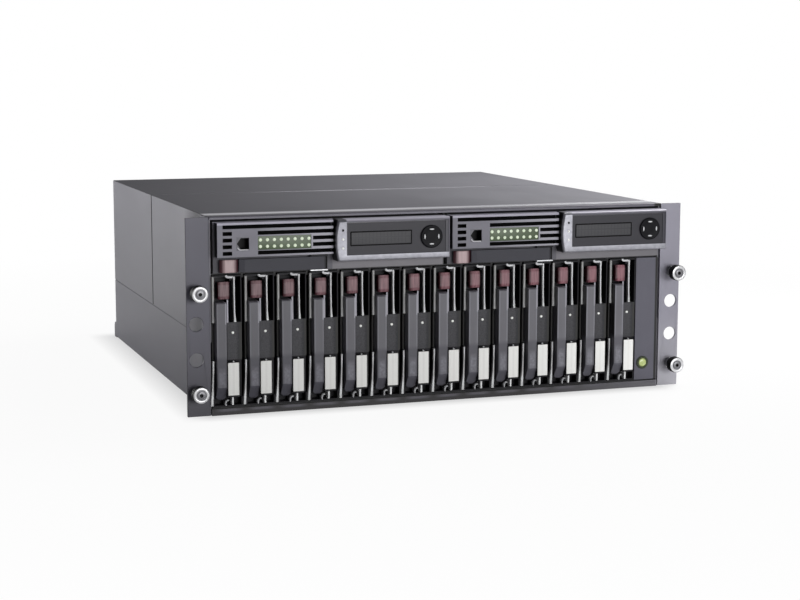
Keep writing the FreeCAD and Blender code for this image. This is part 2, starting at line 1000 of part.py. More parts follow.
def controller_latch(k):
    """A barrel-fronted button beside the lever's free end, on its stem."""
    face = arm_front - catch_proud
    left, right = catch_span(k)
    profile = [
        (left, catch_back),
        (left, face + catch_fall),
        (left + catch_round / 3, face + catch_fall / 3),
        (left + catch_round, face),
        (right - catch_round, face),
        (right - catch_round / 3, face + catch_fall / 3),
        (right, face + catch_fall),
        (right, catch_back),
    ]
    return [prism("z", (arm_low, arm_top), profile).fuse(catch_stem(k)).removeSplitter()]


def direction_pad(k):
    """A round four-way pad that stands off the pod's face by its travel."""
    x, z = pad_centre(k)
    back = pod_face + pod_face_recess - pad_travel - pad_clearance
    return [rod("y", pad_radius, (x, back - pad_thickness, z), pad_thickness)]


# Status panel

def status_panel():
    """A hollow filler panel beside the drives with a status lamp on its face."""
    left = bay_left + drives_width + status_gap
    right = left + status_width
    shell = block((left, right), (front, front + status_depth), (carrier_low, carrier_top))
    hollow = block(
        (left + status_wall, right - status_wall),
        (front + status_wall, front + status_depth + sheet),
        (carrier_low + status_wall, carrier_top - status_wall),
    )
    x = left + lamp_side_offset
    z = carrier_low + lamp_foot
    return [shell.cut(hollow), rod("y", lamp_radius, (x, front - lamp_proud, z), lamp_proud)]


# Rear modules

def power_supply(side):
    """A folded tube with a slotted rear plate, a mains inlet with its pins, and a pull tab."""
    low, high = module_span(side)
    x = (low, high)
    z = (supply_low, supply_top)
    tube = block(x, (supply_front, shell_back + face_plate), z)
    hollow = block(
        (low + supply_sheet, high - supply_sheet),
        (supply_front - sheet, shell_back),
        (supply_low + supply_sheet, supply_top - supply_sheet),
    )
    body = tube.cut(hollow)
    inlet_x = around(low + inlet_width, inlet_width / 2)
    inlet_z = around(supply_low + supply_height / 2 + inlet_height, inlet_height / 2)
    rear = shell_back + face_plate
    cup = block(
        (inlet_x[0] - inlet_wall, inlet_x[1] + inlet_wall),
        (rear - inlet_depth - inlet_wall, rear),
        (inlet_z[0] - inlet_wall, inlet_z[1] + inlet_wall),
    )
    body = body.fuse(cup).cut(block(inlet_x, (rear - inlet_depth, rear), inlet_z))
    middle = low + inlet_width * 2 + (high - low - inlet_width * 2) / 2
    vent_z = around(supply_low + supply_height / 2, vent_slot_height / 2)
    for i in range(vent_slots):
        centre = middle + (i - (vent_slots - 1) / 2) * vent_slot_pitch
        slot_x = around(centre, vent_slot_width / 2)
        body = body.cut(block(slot_x, (shell_back - sheet, rear + sheet), vent_z))
    tab_x = around(low + inlet_width, tab_width / 2)
    tab_z = supply_low + tab_width / 2
    tab = block(tab_x, (rear, rear + tab_depth), (tab_z, tab_z + tab_sheet))
    pins = []
    for across_x, up in ((-1, -1), (1, -1), (0, 1)):
        centre = sum(inlet_x) / 2 + across_x * inlet_width / 4
        level = sum(inlet_z) / 2 + up * inlet_height / 6
        y = (rear - inlet_depth, rear - inlet_depth + inlet_pin_length)
        pins.append(block(around(centre, inlet_pin / 2), y, around(level, inlet_pin)))
    return [body.fuse(tab)] + pins


def io_modules():
    """Two connector modules above the supplies: a folded tube behind a face plate with plug shells."""
    pieces = []
    rear = shell_back + face_plate
    for side in (-1, 1):
        low, high = module_span(side)
        z = (module_low, module_low + module_height)
        tube = block((low, high), (supply_front, shell_back), z)
        hollow = block(
            (low + module_sheet, high - module_sheet),
            (supply_front - sheet, shell_back + sheet),
            (z[0] + module_sheet, z[1] - module_sheet),
        )
        plate_z = (z[0] - slide_clearance + lap_clearance, z[1] + face_lap)
        plate = block((low, high), (shell_back, rear), plate_z)
        pieces.append(tube.cut(hollow).fuse(plate))
        for i in range(shell_plugs):
            centre = low + (high - low) * (i + 1) / (shell_plugs + 1)
            middle = sum(z) / 2
            half = shell_plug_width / 2
            corners = [
                (centre - half, middle + shell_plug_height / 2),
                (centre + half, middle + shell_plug_height / 2),
                (centre + half - shell_plug_height / 4, middle - shell_plug_height / 2),
                (centre - half + shell_plug_height / 4, middle - shell_plug_height / 2),
            ]
            pieces.append(prism("y", (rear, rear + shell_plug_depth), corners))
    return pieces


def main():
    os.makedirs("parts", exist_ok=True)
    save("chassis_tub", [chassis_tub()])
    save("top_covers", top_covers())
    save("rack_ears", rack_ears())
    save("thumbscrews", thumbscrews())
    save("drive_guides", drive_guides())
    save("backplane", backplane())
    save("status_panel", status_panel())
    save("io_modules", io_modules())
    carrier, lever, latch = drive_carrier(), drive_lever(), drive_latch()
    for i in range(drive_count):
        number = f"{i + 1:02d}"
        save("drive_carrier_" + number, moved(carrier, pitch * i))
        save("drive_lever_" + number, moved(lever, pitch * i))
        save("drive_latch_" + number, moved(latch, pitch * i))
    for k in range(controller_count):
        number = str(k + 1)
        windows = [display_window(k), lamp_window(k)]
        save("controller_" + number, [controller_housing(k), display_pod(k), controller_board(k)] + windows)
        save("controller_lever_" + number, controller_lever(k))
        save("controller_latch_" + number, controller_latch(k))
        save("direction_pad_" + number, direction_pad(k))
    for number, side in (("1", -1), ("2", 1)):
        save("power_supply_" + number, power_supply(side))


main()
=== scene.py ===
"""Rack storage enclosure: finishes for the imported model, detailed pieces on its bodies, light and camera."""
import math

import bmesh
import bpy
import numpy as np
from mathutils import Matrix, Vector


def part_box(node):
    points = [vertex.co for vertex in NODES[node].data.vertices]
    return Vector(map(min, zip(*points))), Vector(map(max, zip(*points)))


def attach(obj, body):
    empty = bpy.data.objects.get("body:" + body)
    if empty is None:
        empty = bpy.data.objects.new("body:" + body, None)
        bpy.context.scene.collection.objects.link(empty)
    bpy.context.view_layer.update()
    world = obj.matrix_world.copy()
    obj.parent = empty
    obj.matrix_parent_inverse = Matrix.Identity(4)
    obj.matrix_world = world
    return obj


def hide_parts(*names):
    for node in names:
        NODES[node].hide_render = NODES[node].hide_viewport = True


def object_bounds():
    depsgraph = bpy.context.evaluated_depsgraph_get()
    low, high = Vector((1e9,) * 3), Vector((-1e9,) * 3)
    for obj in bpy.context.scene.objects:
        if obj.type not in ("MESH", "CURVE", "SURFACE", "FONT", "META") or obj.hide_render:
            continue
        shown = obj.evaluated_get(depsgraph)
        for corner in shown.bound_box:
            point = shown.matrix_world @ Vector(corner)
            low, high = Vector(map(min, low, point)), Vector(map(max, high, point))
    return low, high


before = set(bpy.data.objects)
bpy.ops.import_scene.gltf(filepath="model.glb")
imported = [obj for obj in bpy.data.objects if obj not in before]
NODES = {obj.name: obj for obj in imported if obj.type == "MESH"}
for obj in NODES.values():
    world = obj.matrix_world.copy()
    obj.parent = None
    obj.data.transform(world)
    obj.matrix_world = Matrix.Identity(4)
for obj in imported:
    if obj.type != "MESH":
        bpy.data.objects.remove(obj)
CAD_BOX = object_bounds()
MM = 0.001

# Stretches of brush lines that run upright and front to back
UPRIGHT, ENDWAYS = (1.0, 1.0, 0.04), (1.0, 0.2, 1.0)


def box(node):
    """A node's low and high corners in millimetres."""
    return np.array(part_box(node)) / MM


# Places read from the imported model, in millimetres
DRIVES = sorted(name[-2:] for name in NODES if name.startswith("drive_carrier_"))
CONTROLLERS = SUPPLIES = ("1", "2")
FRONT = box("rack_ears")[0, 1]
(BAY_LEFT, _, BAY_LOW), (_, _, BAY_TOP) = box("drive_carrier_" + DRIVES[0])
PITCH = box("drive_carrier_" + DRIVES[1])[0, 0] - BAY_LEFT
(HOUSING_LEFT, POD_FACE, _), (POD_RIGHT, _, POD_TOP) = box("controller_1")
HOUSING_PITCH = box("controller_2")[0, 0] - HOUSING_LEFT
(_, _, SEAM), (_, _, SHELL_TOP) = box("top_covers")
SUPPLY_LEFT = box("power_supply_1")[0, 0]
SUPPLY_PITCH = box("power_supply_2")[0, 0] - SUPPLY_LEFT
REAR = box("chassis_tub")[1, 1]

# Drive fronts, from each bay's left and low edges
BEZEL_DEPTH = 15.5
LABEL, LABEL_PROUD = (11.6, 21.6, 11.6, 40.9), 8.0
BLOCK_LOW, BLOCK_TOP = 42.1, 75.6
LATCH = (5.0, 15.4, 96.4, 111.8)
LEVER_FOOT, LEVER_HEEL = 45.0, 18.0
LAMP_PLACE, RIVET = (18.4, 66.4), (17.2, 41.6)

# Controllers: widths from each housing's left side, depths and heights in the frame
VENT_BEZEL = (1.8, 107.4, 141.65, 172.0)
BEZEL_FACE, FASCIA, SLOT_PITCH = -12.5, -3.0, 5.8
PORT = (18.9, 30.3, 147.55, 159.25)
LAMP_WINDOW = (38.3, 87.0, 147.55, 159.55)
CATCH, ARM_HINGE = (5.0, 21.5), 100.8
POD_WIDTH, POD_HEIGHT, POD_BULGE = 105.4, 37.0, 2.4
POD_CAP, POD_END, POD_SILL, POD_RIM, POD_ROLL = 7.6, 4.2, 5.3, 2.9, 2.8
POD_LAMP_PITCH, PAD_MARK_REACH = 8.0, 6.8
LAMP_COLUMNS, LAMP_HEIGHTS = 40.7 + 6.32 * np.arange(8), (150.4, 156.2)
# The display's left and low edges on the pod's face, its width and its height
DISPLAY = (3.0, 8.0, 58.3, 13.2)

# Power supplies: widths from each one's left side, heights in the frame
SUPPLY_TOP, TAB_REACH = 118.0, 8.0
INLET, INLET_SPAN, INLET_DEPTH = (27.6, 79.6), (13.85, 10.15), 16.0
REAR_PLATE = box("power_supply_1")[1, 1] - TAB_REACH

# Thumbscrews, and the status lamp from its panel's left and low edges
SCREW_REACH, SCREW_HEIGHTS = 232.55, (22.225, 111.125)
SCREW_FACE, SCREW_BACK, KNURL, KNURL_LOBES = 17.0, 8.5, 0.013, 32
STATUS_LAMP, STATUS_LENS = (8.2, 16.6), 3.9

# The covers' joint, the crease of the front one with its painted highlight, the end of its edge where painted shade
# starts, and the status panel's right edge where painted shade starts
COVER_SPLIT, CREASE, EDGE_NOTCH, PANEL_EDGE = 244.5, 21.0, 213.5, 215.9


# Shader expressions

class Shade:
    """A shader socket: arithmetic on it adds Math nodes, and node() adds any other kind."""

    def __init__(self, tree, socket):
        self.tree, self.socket = tree, socket

    def node(self, kind, settings, sockets, output=0):
        """Adds a node of a kind: its settings first, then its sockets' values or links, by name or number."""
        made = self.tree.nodes.new("ShaderNode" + kind)
        for name, value in settings.items():
            setattr(made, name, value)
        for key, value in sockets.items():
            if isinstance(value, Shade):
                self.tree.links.new(value.socket, made.inputs[key])
            else:
                made.inputs[key].default_value = value
        return Shade(self.tree, made.outputs[output])

    def math(self, operation, *values):
        """A Math node on values that are sockets or numbers."""
        return self.node("Math", {"operation": operation}, dict(enumerate(values)))

    def __add__(self, other):
        return self.math("ADD", self, other)

    def __radd__(self, other):
        return self.math("ADD", other, self)

    def __sub__(self, other):
        return self.math("SUBTRACT", self, other)

    def __rsub__(self, other):
        return self.math("SUBTRACT", other, self)

    def __mul__(self, other):
        return self.math("MULTIPLY", self, other)

    def __rmul__(self, other):
        return self.math("MULTIPLY", other, self)

    def __truediv__(self, other):
        return self.math("DIVIDE", self, other)

    def __mod__(self, other):
        return self.math("FLOORED_MODULO", self, other)

    def either(self, other):
        """The greater of two values."""
        return self.math("MAXIMUM", self, other)

    def axis(self, number):
        """One coordinate of a vector socket, in millimetres."""
        return self.node("SeparateXYZ", {}, {0: self}, number) / MM

    def above(self, limit, soft=0.05):
        """0 below a limit and 1 above it, with a straight ramp of twice the softness."""
        return self.node("MapRange", {"clamp": True}, {0: self, 1: limit - soft, 2: limit + soft})

    def between(self, low, high, soft=0.05):
        """1 between two limits and 0 elsewhere."""
        return self.above(low, soft) * (1 - self.above(high, soft))

    def noise(self, scale, detail, stretch=(1.0, 1.0, 1.0)):
        """Noise of about 0 to 1 at a scale per metre, stretched along the axes."""
        place = self.node("VectorMath", {"operation": "MULTIPLY"}, {0: self, 1: stretch})
        return self.node("TexNoise", {}, {"Vector": place, "Scale": scale, "Detail": detail})

    def mix(self, first, second):
        """The colour between two colours, by this value."""
        return self.node("Mix", {"data_type": "RGBA"}, {0: self, 6: first, 7: second}, 2)

    def bump(self, strength, depth):
        """A normal from this height, with a depth in millimetres."""
        return self.node("Bump", {}, {"Strength": strength, "Distance": depth * MM, "Height": self})


def tint(red, green, blue):
    """A linear colour from display values of 0 to 255."""
    level = np.array([red, green, blue]) / 255
    linear = np.where(level <= 0.04045, level / 12.92, ((level + 0.055) / 1.055) ** 2.4)
    return (*linear.tolist(), 1.0)


def finish(name, paint, constant):
    """A material: constant values go on the shader's own sockets, and paint(place) gives those that vary."""
    material = bpy.data.materials.new(name)
    material.use_nodes = True
    tree = material.node_tree
    shader = next(node for node in tree.nodes if node.type == "BSDF_PRINCIPLED")
    for key, value in constant.items():
        shader.inputs[key].default_value = value
    place = Shade(tree, tree.nodes.new("ShaderNodeTexCoord").outputs["Object"])
    for key, value in paint(place).items():
        tree.links.new(value.socket, shader.inputs[key])
    return material


def bay_place(place):
    """The distance across each drive from its own left edge."""
    return (place.axis(0) - BAY_LEFT) % PITCH


def housing_place(place):
    """The distance across each controller from its own left side."""
    return (place.axis(0) - (HOUSING_LEFT - 1.0)) % HOUSING_PITCH - 1.0


def cloudy(place):
    """The slow change of tone over moulded plastic."""
    return place.noise(40.0, 3.0)


def spark(place, depth=0.04):
    """The fine spark texture of moulded plastic, as a normal."""
    return place.noise(2600.0, 1.0).bump(0.3, depth)


def brush_lines(place, stretch):
    """Fine brush lines along the axes with the least stretch."""
    return place.noise(1800.0, 2.0, stretch)


def brush_relief(lines):
    """The normal of brush lines."""
    return lines.bump(0.12, 0.03)


def sheet_paint(name, tones, relief=None):
    """Satin powder paint with orange-peel bump and faint marks of rubbing; tones(place, wear) gives its colour."""
    def paint(place):
        wear = place.noise(9.0, 3.0) * 0.5 + place.noise(60.0, 4.0, (1.0, 0.25, 1.0)) * 0.5
        peel = place.noise(1500.0, 2.0) * 0.012
        return {
            "Base Color": tones(place, wear),
            "Roughness": 0.34 + wear * 0.18,
            "Normal": (peel + relief(place) if relief else peel).bump(1.0, 1.0),
        }
    return finish(name, paint, {"Metallic": 0.2})


def moulded(name, colour, pale, rough, grain=0.04, shine=0.5):
    """Moulded plastic with a fine spark texture and a slight change of tone."""
    def paint(place):
        cloud = cloudy(place)
        return {
            "Base Color": cloud.mix(colour, pale),
            "Roughness": (rough - 0.06) + cloud * 0.12,
            "Normal": spark(place, grain),
        }
    return finish(name, paint, {"Specular IOR Level": shine})


def brushed(name, colour, pale, rough, stretch, metal):
    """Metal with fine brush lines along one axis."""
    def paint(place):
        lines = brush_lines(place, stretch)
        cloud = place.noise(30.0, 2.0)
        return {
            "Base Color": cloud.mix(colour, pale),
            "Roughness": (rough - 0.08) + lines * 0.16,
            "Normal": brush_relief(lines),
        }
    return finish(name, paint, {"Metallic": metal})


def glow(name, colour, deep, strength):
    """A lit lens: a colour over a deeper tone, with a soft light of its own."""
    def paint(place):
        cloud = place.noise(700.0, 1.0)
        shine = cloud.mix(deep, colour)
        return {"Base Color": shine, "Emission Color": shine, "Roughness": 0.14 + cloud * 0.1}
    return finish(name, paint, {"Emission Strength": strength, "Coat Weight": 0.4})


def strip_finish():
    """The drives' plated strips with upright brush lines; painted shade makes the left strips duller, darker
    towards the top of the upper ones and over the middle of the lower ones, and darkens the window strips at their
    feet.
    """
    def paint(place):
        lines = brush_lines(place, UPRIGHT)
        height = place.axis(2) - BAY_LOW
        # Painted shade: the left strips are duller than the window strips, and each set is darker where shade falls
        # on it.
        left = 1 - ((bay_place(place) + 5.0) % PITCH).above(9.0)
        upper = height.above(93.0, 10.0).mix(tint(176, 176, 176), tint(138, 138, 137))
        lower = height.between(13.0, 33.0, 4.0).mix(tint(214, 215, 216), tint(154, 154, 154))
        window = height.between(70.0, 90.0, 8.0).mix(tint(236, 237, 238), tint(190, 191, 192))
        return {
            "Base Color": left.mix(window, height.above(60.0).mix(lower, upper)),
            "Roughness": 0.26 + lines * 0.16,
            "Normal": brush_relief(lines),
        }
    return finish("strip_bright", paint, {"Metallic": 0.25})


def carrier_finish():
    """Black moulded bezel with a greyer textured block; behind it the disk's cast base in pale grey metal. Painted
    shade makes a black gap above the block and dark red beside each latch; painted light makes the walls between
    drives paler at the block's height.
    """
    def paint(place):
        cloud = cloudy(place)
        speck = place.noise(900.0, 2.0)
        disk = place.axis(1).above(FRONT + BEZEL_DEPTH + 0.1)
        across, height = bay_place(place), place.axis(2) - BAY_LOW
        block = height.between(BLOCK_LOW, BLOCK_TOP, 0.2)
        right = across.above(22.5, 1.5)
        # Painted shade: the bezel face beside the window is painted black, as a dark gap.
        slit = across.between(14.3, 22.0) * height.between(BLOCK_TOP, 113.0)
        brow = across.between(2.2, 12.5) * height.between(114.7, 115.9, 0.2)
        # Painted shade: dark red beside each latch, for the latch's shaded left wall.
        recess = across.between(1.7, 5.0) * height.between(LATCH[2] - 1.0, LATCH[3] + 1.0)
        plain = slit.mix(cloud.mix(tint(20, 19, 23), tint(31, 30, 35)), tint(5, 5, 6))
        bezel = brow.mix((recess * 0.8).mix(plain, tint(60, 24, 34)), tint(112, 111, 115))
        # Painted light: the walls between drives are paler at the block's height, where they lie in shade.
        wall = (1 - across.above(2.0)).either(across.above(24.6))
        rough = (speck * 0.7 + right * -0.4).mix(tint(54, 54, 57), tint(98, 97, 102))
        moulding = block.mix(bezel, wall.mix(rough, tint(60, 60, 59)))
        return {
            "Base Color": disk.mix(moulding, cloud.mix(tint(150, 152, 156), tint(172, 173, 176))),
            "Roughness": 0.42 + cloud * 0.12,
            "Metallic": (disk * 0.9).either(slit),
            "Normal": (place.noise(2600.0, 1.0) * 0.4 + speck * block * 0.6).bump(0.35, 0.08),
        }
    return finish("bezel_black", paint, {"Specular IOR Level": 0.2})


def lever_finish():
    """Grey moulded levers with a pale right flank and a darker foot with a worn patch. Painted light makes them
    paler towards the right drives, with painted highlights on their edges and a paler heel; painted shade makes the
    left edge of the right drives' levers near black.
    """
    def paint(place):
        across, height = bay_place(place), place.axis(2) - BAY_LOW
        cloud = cloudy(place)
        rub_and_highlight = place.noise(160.0, 3.0, (1.0, 1.0, 0.15))
        flank = across.above(10.0, 0.3) * height.above(75.0, 0.5)
        foot, heel = 1 - height.above(LEVER_FOOT, 2.0), 1 - height.above(LEVER_HEEL, 3.0)
        patch = height.between(18.5, 34.0, 3.0) * across.between(3.8, 9.8, 0.8)
        mottle = place.noise(420.0, 3.0).above(0.5, 0.2)
        # Painted light: the levers are paler towards the right drives.
        far = place.axis(0).above(0.0, 200.0)
        # Painted highlight along the lever's edges, stronger on the right drives.
        edge = 1 - across.between(3.4, 10.3, 0.6)
        worn = rub_and_highlight * 0.7 + cloud * 0.3
        near = worn.mix(tint(74, 73, 80), tint(99, 98, 105))
        plain = far.mix(near, worn.mix(tint(90, 89, 96), tint(120, 119, 126)))
        body = (edge * (0.25 + far * 0.5)).mix(plain, tint(150, 149, 158))
        # Painted shade: the left edge of the right drives' levers is near black.
        body = ((1 - across.above(2.5)) * far).mix(body, tint(20, 20, 22))
        # Painted light: the foot is paler towards the right drives and at its heel, which faces down into shade.
        lower = (far * 0.7 + heel * 0.3).mix(tint(66, 65, 74), tint(98, 97, 105))
        lower = (patch * (0.4 + mottle * 0.6)).mix(lower, far.mix(tint(112, 111, 121), tint(136, 135, 144)))
        tone = flank.mix(foot.mix(body, lower), tint(150, 149, 158))
        return {
            "Base Color": tone,
            "Roughness": 0.36 + rub_and_highlight * 0.16,
            "Normal": spark(place),
        }
    return finish("lever_grey", paint, {})


def latch_finish():
    """Mauve moulded latch with pale upright streaks on its face; painted shade darkens it to dark red at its edges,
    and painted light makes it paler towards the right drives.
    """
    def paint(place):
        across = bay_place(place)
        # Painted shade: the latch darkens to dark red at its edges.
        middle = across.between(LATCH[0] + 1.9, LATCH[1] - 0.9, 0.8)
        streak = place.noise(900.0, 2.0, (1.0, 1.0, 0.06)).above(0.5, 0.22)
        # Painted light: the latches are paler towards the right drives.
        pale = place.axis(0).above(0.0, 200.0).mix(tint(137, 107, 112), tint(168, 113, 123))
        return {
            "Base Color": (middle * (0.3 + streak * 0.7)).mix(tint(62, 26, 34), pale),
            "Roughness": 0.32 + streak * 0.14,
            "Normal": streak.bump(0.3, 0.15),
        }
    return finish("latch_mauve", paint, {})


def catch_finish():
    """The controllers' latches: a dark red barrel, its sides darkened by painted shade, with a painted highlight as
    a pale streaked crown.
    """
    def paint(place):
        across = housing_place(place)
        # Painted highlight: a pale streaked crown, with painted shade darkening the barrel's sides to dark red.
        crown = across.between(CATCH[0] + 3.2, CATCH[1] - 3.1, 1.5)
        streak = place.noise(700.0, 2.0, (1.0, 1.0, 0.06))
        return {
            "Base Color": (crown * (0.62 + streak * 0.4)).mix(tint(64, 28, 36), tint(200, 174, 176)),
            "Roughness": 0.3 + streak * 0.14,
            "Normal": streak.bump(0.2, 0.1),
        }
    return finish("catch_mauve", paint, {})


def arm_finish():
    """The controllers' levers: dark grey plastic, with painted shade making it black at the hinge end."""
    def paint(place):
        cloud = cloudy(place)
        # Painted shade: the lever's hinge end is black.
        hinge = housing_place(place).above(ARM_HINGE, 1.2)
        return {
            "Base Color": hinge.mix(cloud.mix(tint(62, 62, 69), tint(74, 74, 81)), tint(6, 6, 7)),
            "Roughness": 0.44 + cloud * 0.12,
            "Normal": spark(place),
        }
    return finish("arm_grey", paint, {"Specular IOR Level": 0.2})


def controller_finish():
    """Grey painted housing with a bright hinge lug below the lever. Painted highlights make the ribs paler to the
    right and a pale crest along the vent bezel's top; painted shade makes the vents black, inside and in bands on
    the face, and darkens the bezel's sides and the fascia.
    """
    def paint(place):
        cloud = place.noise(9.0, 3.0)
        scuff = place.noise(60.0, 4.0, (1.0, 0.25, 1.0))
        across, depth, height = housing_place(place), place.axis(1), place.axis(2)
        left, right, low, high = VENT_BEZEL
        row, ends = (high - 2.0 - height) % SLOT_PITCH, 1 - height.between(high - 23.2, high - 11.4)
        reach = across.between(left + 4.9, left + 13.2).either(across.between(LAMP_WINDOW[1] + 1.5, right))
        reach = reach.either(across.between(LAMP_WINDOW[0], right) * ends)
        reach = reach.either(across.between(left + 4.9, right) * height.above(high - 5.6))
        # Painted shade: black bands on the bezel's face, a little wider than the vents' slots.
        slot = reach * (1 - row.above(3.4)) * height.between(high - 28.7, high - 1.9)
        # Painted shade: everything behind the bezel's face is black.
        deep = across.between(left + 0.8, right + 0.3) * depth.between(BEZEL_FACE + 0.1, 6.0)
        deep = deep * height.between(low + 0.7, high - 0.7)
        deep = deep.either(slot * (1 - depth.above(BEZEL_FACE + 0.2)))
        lug = (1 - height.above(127.6)) * (1 - depth.above(FASCIA - 0.05))
        inside = depth.above(FASCIA + 0.3)
        # Painted shade: the bezel's sides and the fascia behind it are dark, less dark to the right of the vent
        # bezel.
        side = depth.between(BEZEL_FACE + 1.0, FASCIA + 0.2, 0.5) * (1 - height.above(high - 0.3))
        foot = across.above(right + 2.0).mix(tint(22, 21, 25), tint(86, 83, 83))
        # Painted highlight: the bezel's ribs are paler to the right.
        ribs = across.above(74.0, 38.0) * 0.8
        plain = ribs.mix(cloud.mix(tint(108, 107, 115), tint(124, 123, 131)), tint(172, 171, 180))
        # Painted highlight: a pale crest along the bezel's top edge.
        crest = height.above(high - 2.0, 0.3).mix(plain, tint(160, 158, 170))
        face = deep.mix(side.mix(crest, foot), tint(4, 4, 5))
        zinc = cloud.mix(tint(150, 151, 154), tint(172, 173, 176))
        return {
            "Base Color": lug.mix((inside * (1 - deep)).mix(face, zinc), tint(222, 223, 226)),
            "Roughness": 0.36 + scuff * 0.16 - lug * 0.1 + deep * 0.5,
            "Metallic": (0.2 + lug * 0.3 + inside * 0.6) * (1 - deep),
            "Normal": place.noise(1500.0, 2.0).bump(0.25, 0.05),
        }
    return finish("controller_grey", paint, {"Specular IOR Level": 0.25})


def pod_finish():
    """The pod's shell: silver sill and cap, duller to its top, and a lavender body with a pale top edge; painted
    shade makes its left wall near black.
    """
    def paint(place):
        across = housing_place(place) - (POD_RIGHT - POD_WIDTH - HOUSING_LEFT)
        height = place.axis(2) - (POD_TOP - POD_HEIGHT)
        lines = place.noise(1500.0, 2.0, (0.05, 1.0, 1.0))
        mottle = place.noise(260.0, 3.0)
        bright = (1 - height.above(POD_SILL - 0.1)).either(1 - across.above(POD_CAP - 0.2, 0.2))
        streak, rise = mottle.above(0.5, 0.3), height.above(20.0, 17.0)
        far = place.axis(0).above(0.0, 110.0) * 0.45
        silver = streak.mix(tint(150, 150, 158), tint(178, 178, 186))
        silver = (rise * (1 - far)).mix(silver, streak.mix(tint(100, 100, 107), tint(126, 126, 133)))
        pale = height.above(POD_HEIGHT - 1.2, 1.1).either(across.above(POD_WIDTH - 0.8, 0.3) * 0.7)
        # Painted shade: the pod's left wall is near black.
        wall = place.axis(1).above(POD_FACE + 2.6, 0.4) * (1 - across.above(0.2, 0.2))
        brim = far.mix(tint(206, 203, 217), tint(150, 148, 160))
        body = bright.mix(pale.mix(tint(58, 57, 66), brim), silver)
        return {
            "Base Color": wall.mix(body, tint(16, 16, 18)),
            "Roughness": 0.28 + lines * 0.14,
            "Metallic": bright * 0.35 + 0.1,
            "Normal": lines.bump(0.1, 0.03),
        }
    return finish("pod_silver", paint, {})


def label_finish():
    """Blank paper label: warm white, fine fibre and a faint upright fold; painted light makes those to the right
    brighter, by a glow of their own.
    """
    def paint(place):
        fibre = place.noise(900.0, 4.0)
        across = bay_place(place)
        edge = across.between(LABEL[0] + 0.5, LABEL[1] - 0.5, 0.4)
        fold = 1 - across.between(15.8, 17.4, 0.8) * 0.35
        return {
            "Base Color": (edge * fold * 0.75 + fibre * 0.25).mix(tint(208, 208, 205), tint(240, 240, 237)),
            # Painted light: labels to the right glow, so that they read brighter.
            "Emission Color": place.axis(0).above(60.0, 160.0).mix(tint(0, 0, 0), tint(255, 255, 252)),
            "Roughness": 0.6 + fibre * 0.15,
            "Normal": fibre.bump(0.1, 0.03),
        }
    return finish("label_paper", paint, {"Emission Strength": 0.19})


def display_finish():
    """Dark display glass with a faint grid of blank cells."""
    def paint(place):
        columns = (place.axis(0) % 3.4).between(0.3, 3.1, 0.1)
        rows = (place.axis(2) % 6.0).between(0.5, 5.5, 0.1)
        cells = columns * rows
        return {"Base Color": cells.mix(tint(66, 66, 70), tint(74, 74, 77)), "Roughness": 0.42 + cells * 0.08}
    return finish("display_glass", paint, {"Specular IOR Level": 0.25})


def board_finish():
    """Green circuit board with fine traces showing as paler lines."""
    def paint(place):
        trace = (place.axis(0) % 2.4).between(0.3, 0.9, 0.1) * place.noise(160.0, 1.0).above(0.48, 0.02)
        cloud = place.noise(50.0, 2.0)
        return {
            "Base Color": trace.mix(cloud.mix(tint(18, 58, 40), tint(26, 72, 50)), tint(60, 112, 74)),
            "Roughness": 0.35 + cloud * 0.15,
        }
    return finish("board_green", paint, {})


def rear_finish():
    """Zinc-plated plates with brush lines: black inlets with bright pins, dark pull tabs and connector mouths."""
    def paint(place):
        lines = brush_lines(place, (1.0, 0.2, 0.05))
        cloud = place.noise(30.0, 2.0)
        across = (place.axis(0) - SUPPLY_LEFT) % SUPPLY_PITCH - INLET[0]
        depth, height = place.axis(1) - REAR_PLATE, place.axis(2)
        level = height - INLET[1]
        half_width, half_height = INLET_SPAN
        inlet = across.between(-half_width, half_width) * level.between(-half_height, half_height)
        inlet = inlet * depth.between(-INLET_DEPTH - 0.5, -0.05)
        pins = across.between(-8.2, -5.6).either(across.between(5.6, 8.2)) * level.between(-6.2, -0.6)
        pins = pins.either(across.between(-1.3, 1.3) * level.between(0.6, 6.2))
        upper = height.above(SUPPLY_TOP)
        tab, mouth = depth.above(0.1) * (1 - upper), depth.above(5.9) * upper
        dark = (inlet * (1 - pins * depth.above(0.2 - INLET_DEPTH))).either(tab).either(mouth)
        return {
            "Base Color": dark.mix(cloud.mix(tint(150, 152, 154), tint(176, 178, 180)), tint(20, 20, 23)),
            "Roughness": 0.26 + lines * 0.16 + dark * 0.2,
            "Metallic": (1 - dark) * 0.55,
            "Normal": brush_relief(lines),
        }
    return finish("module_zinc", paint, {})


def shell_tones(place, wear):
    """The shell's grey, and its dark front lip, paler in an arch under each drive; painted light makes the lip
    paler to the right.
    """
    across, depth, height = place.axis(0), place.axis(1), place.axis(2)
    arch = bay_place(place).between(5.0, 24.0, 4.0) * height.between(3.4, 5.6, 0.8)
    lip = (1 - depth.above(6.0)) * (1 - height.above(9.0)) * across.between(BAY_LEFT - 1.5, -BAY_LEFT)
    # Painted light: the lip is paler to the right.
    edge = across.above(150.0, 70.0).mix(tint(46, 44, 46), tint(108, 107, 112))
    return lip.mix(wear.mix(tint(108, 107, 114), tint(122, 121, 128)), (arch * 0.8).mix(edge, tint(94, 92, 100)))


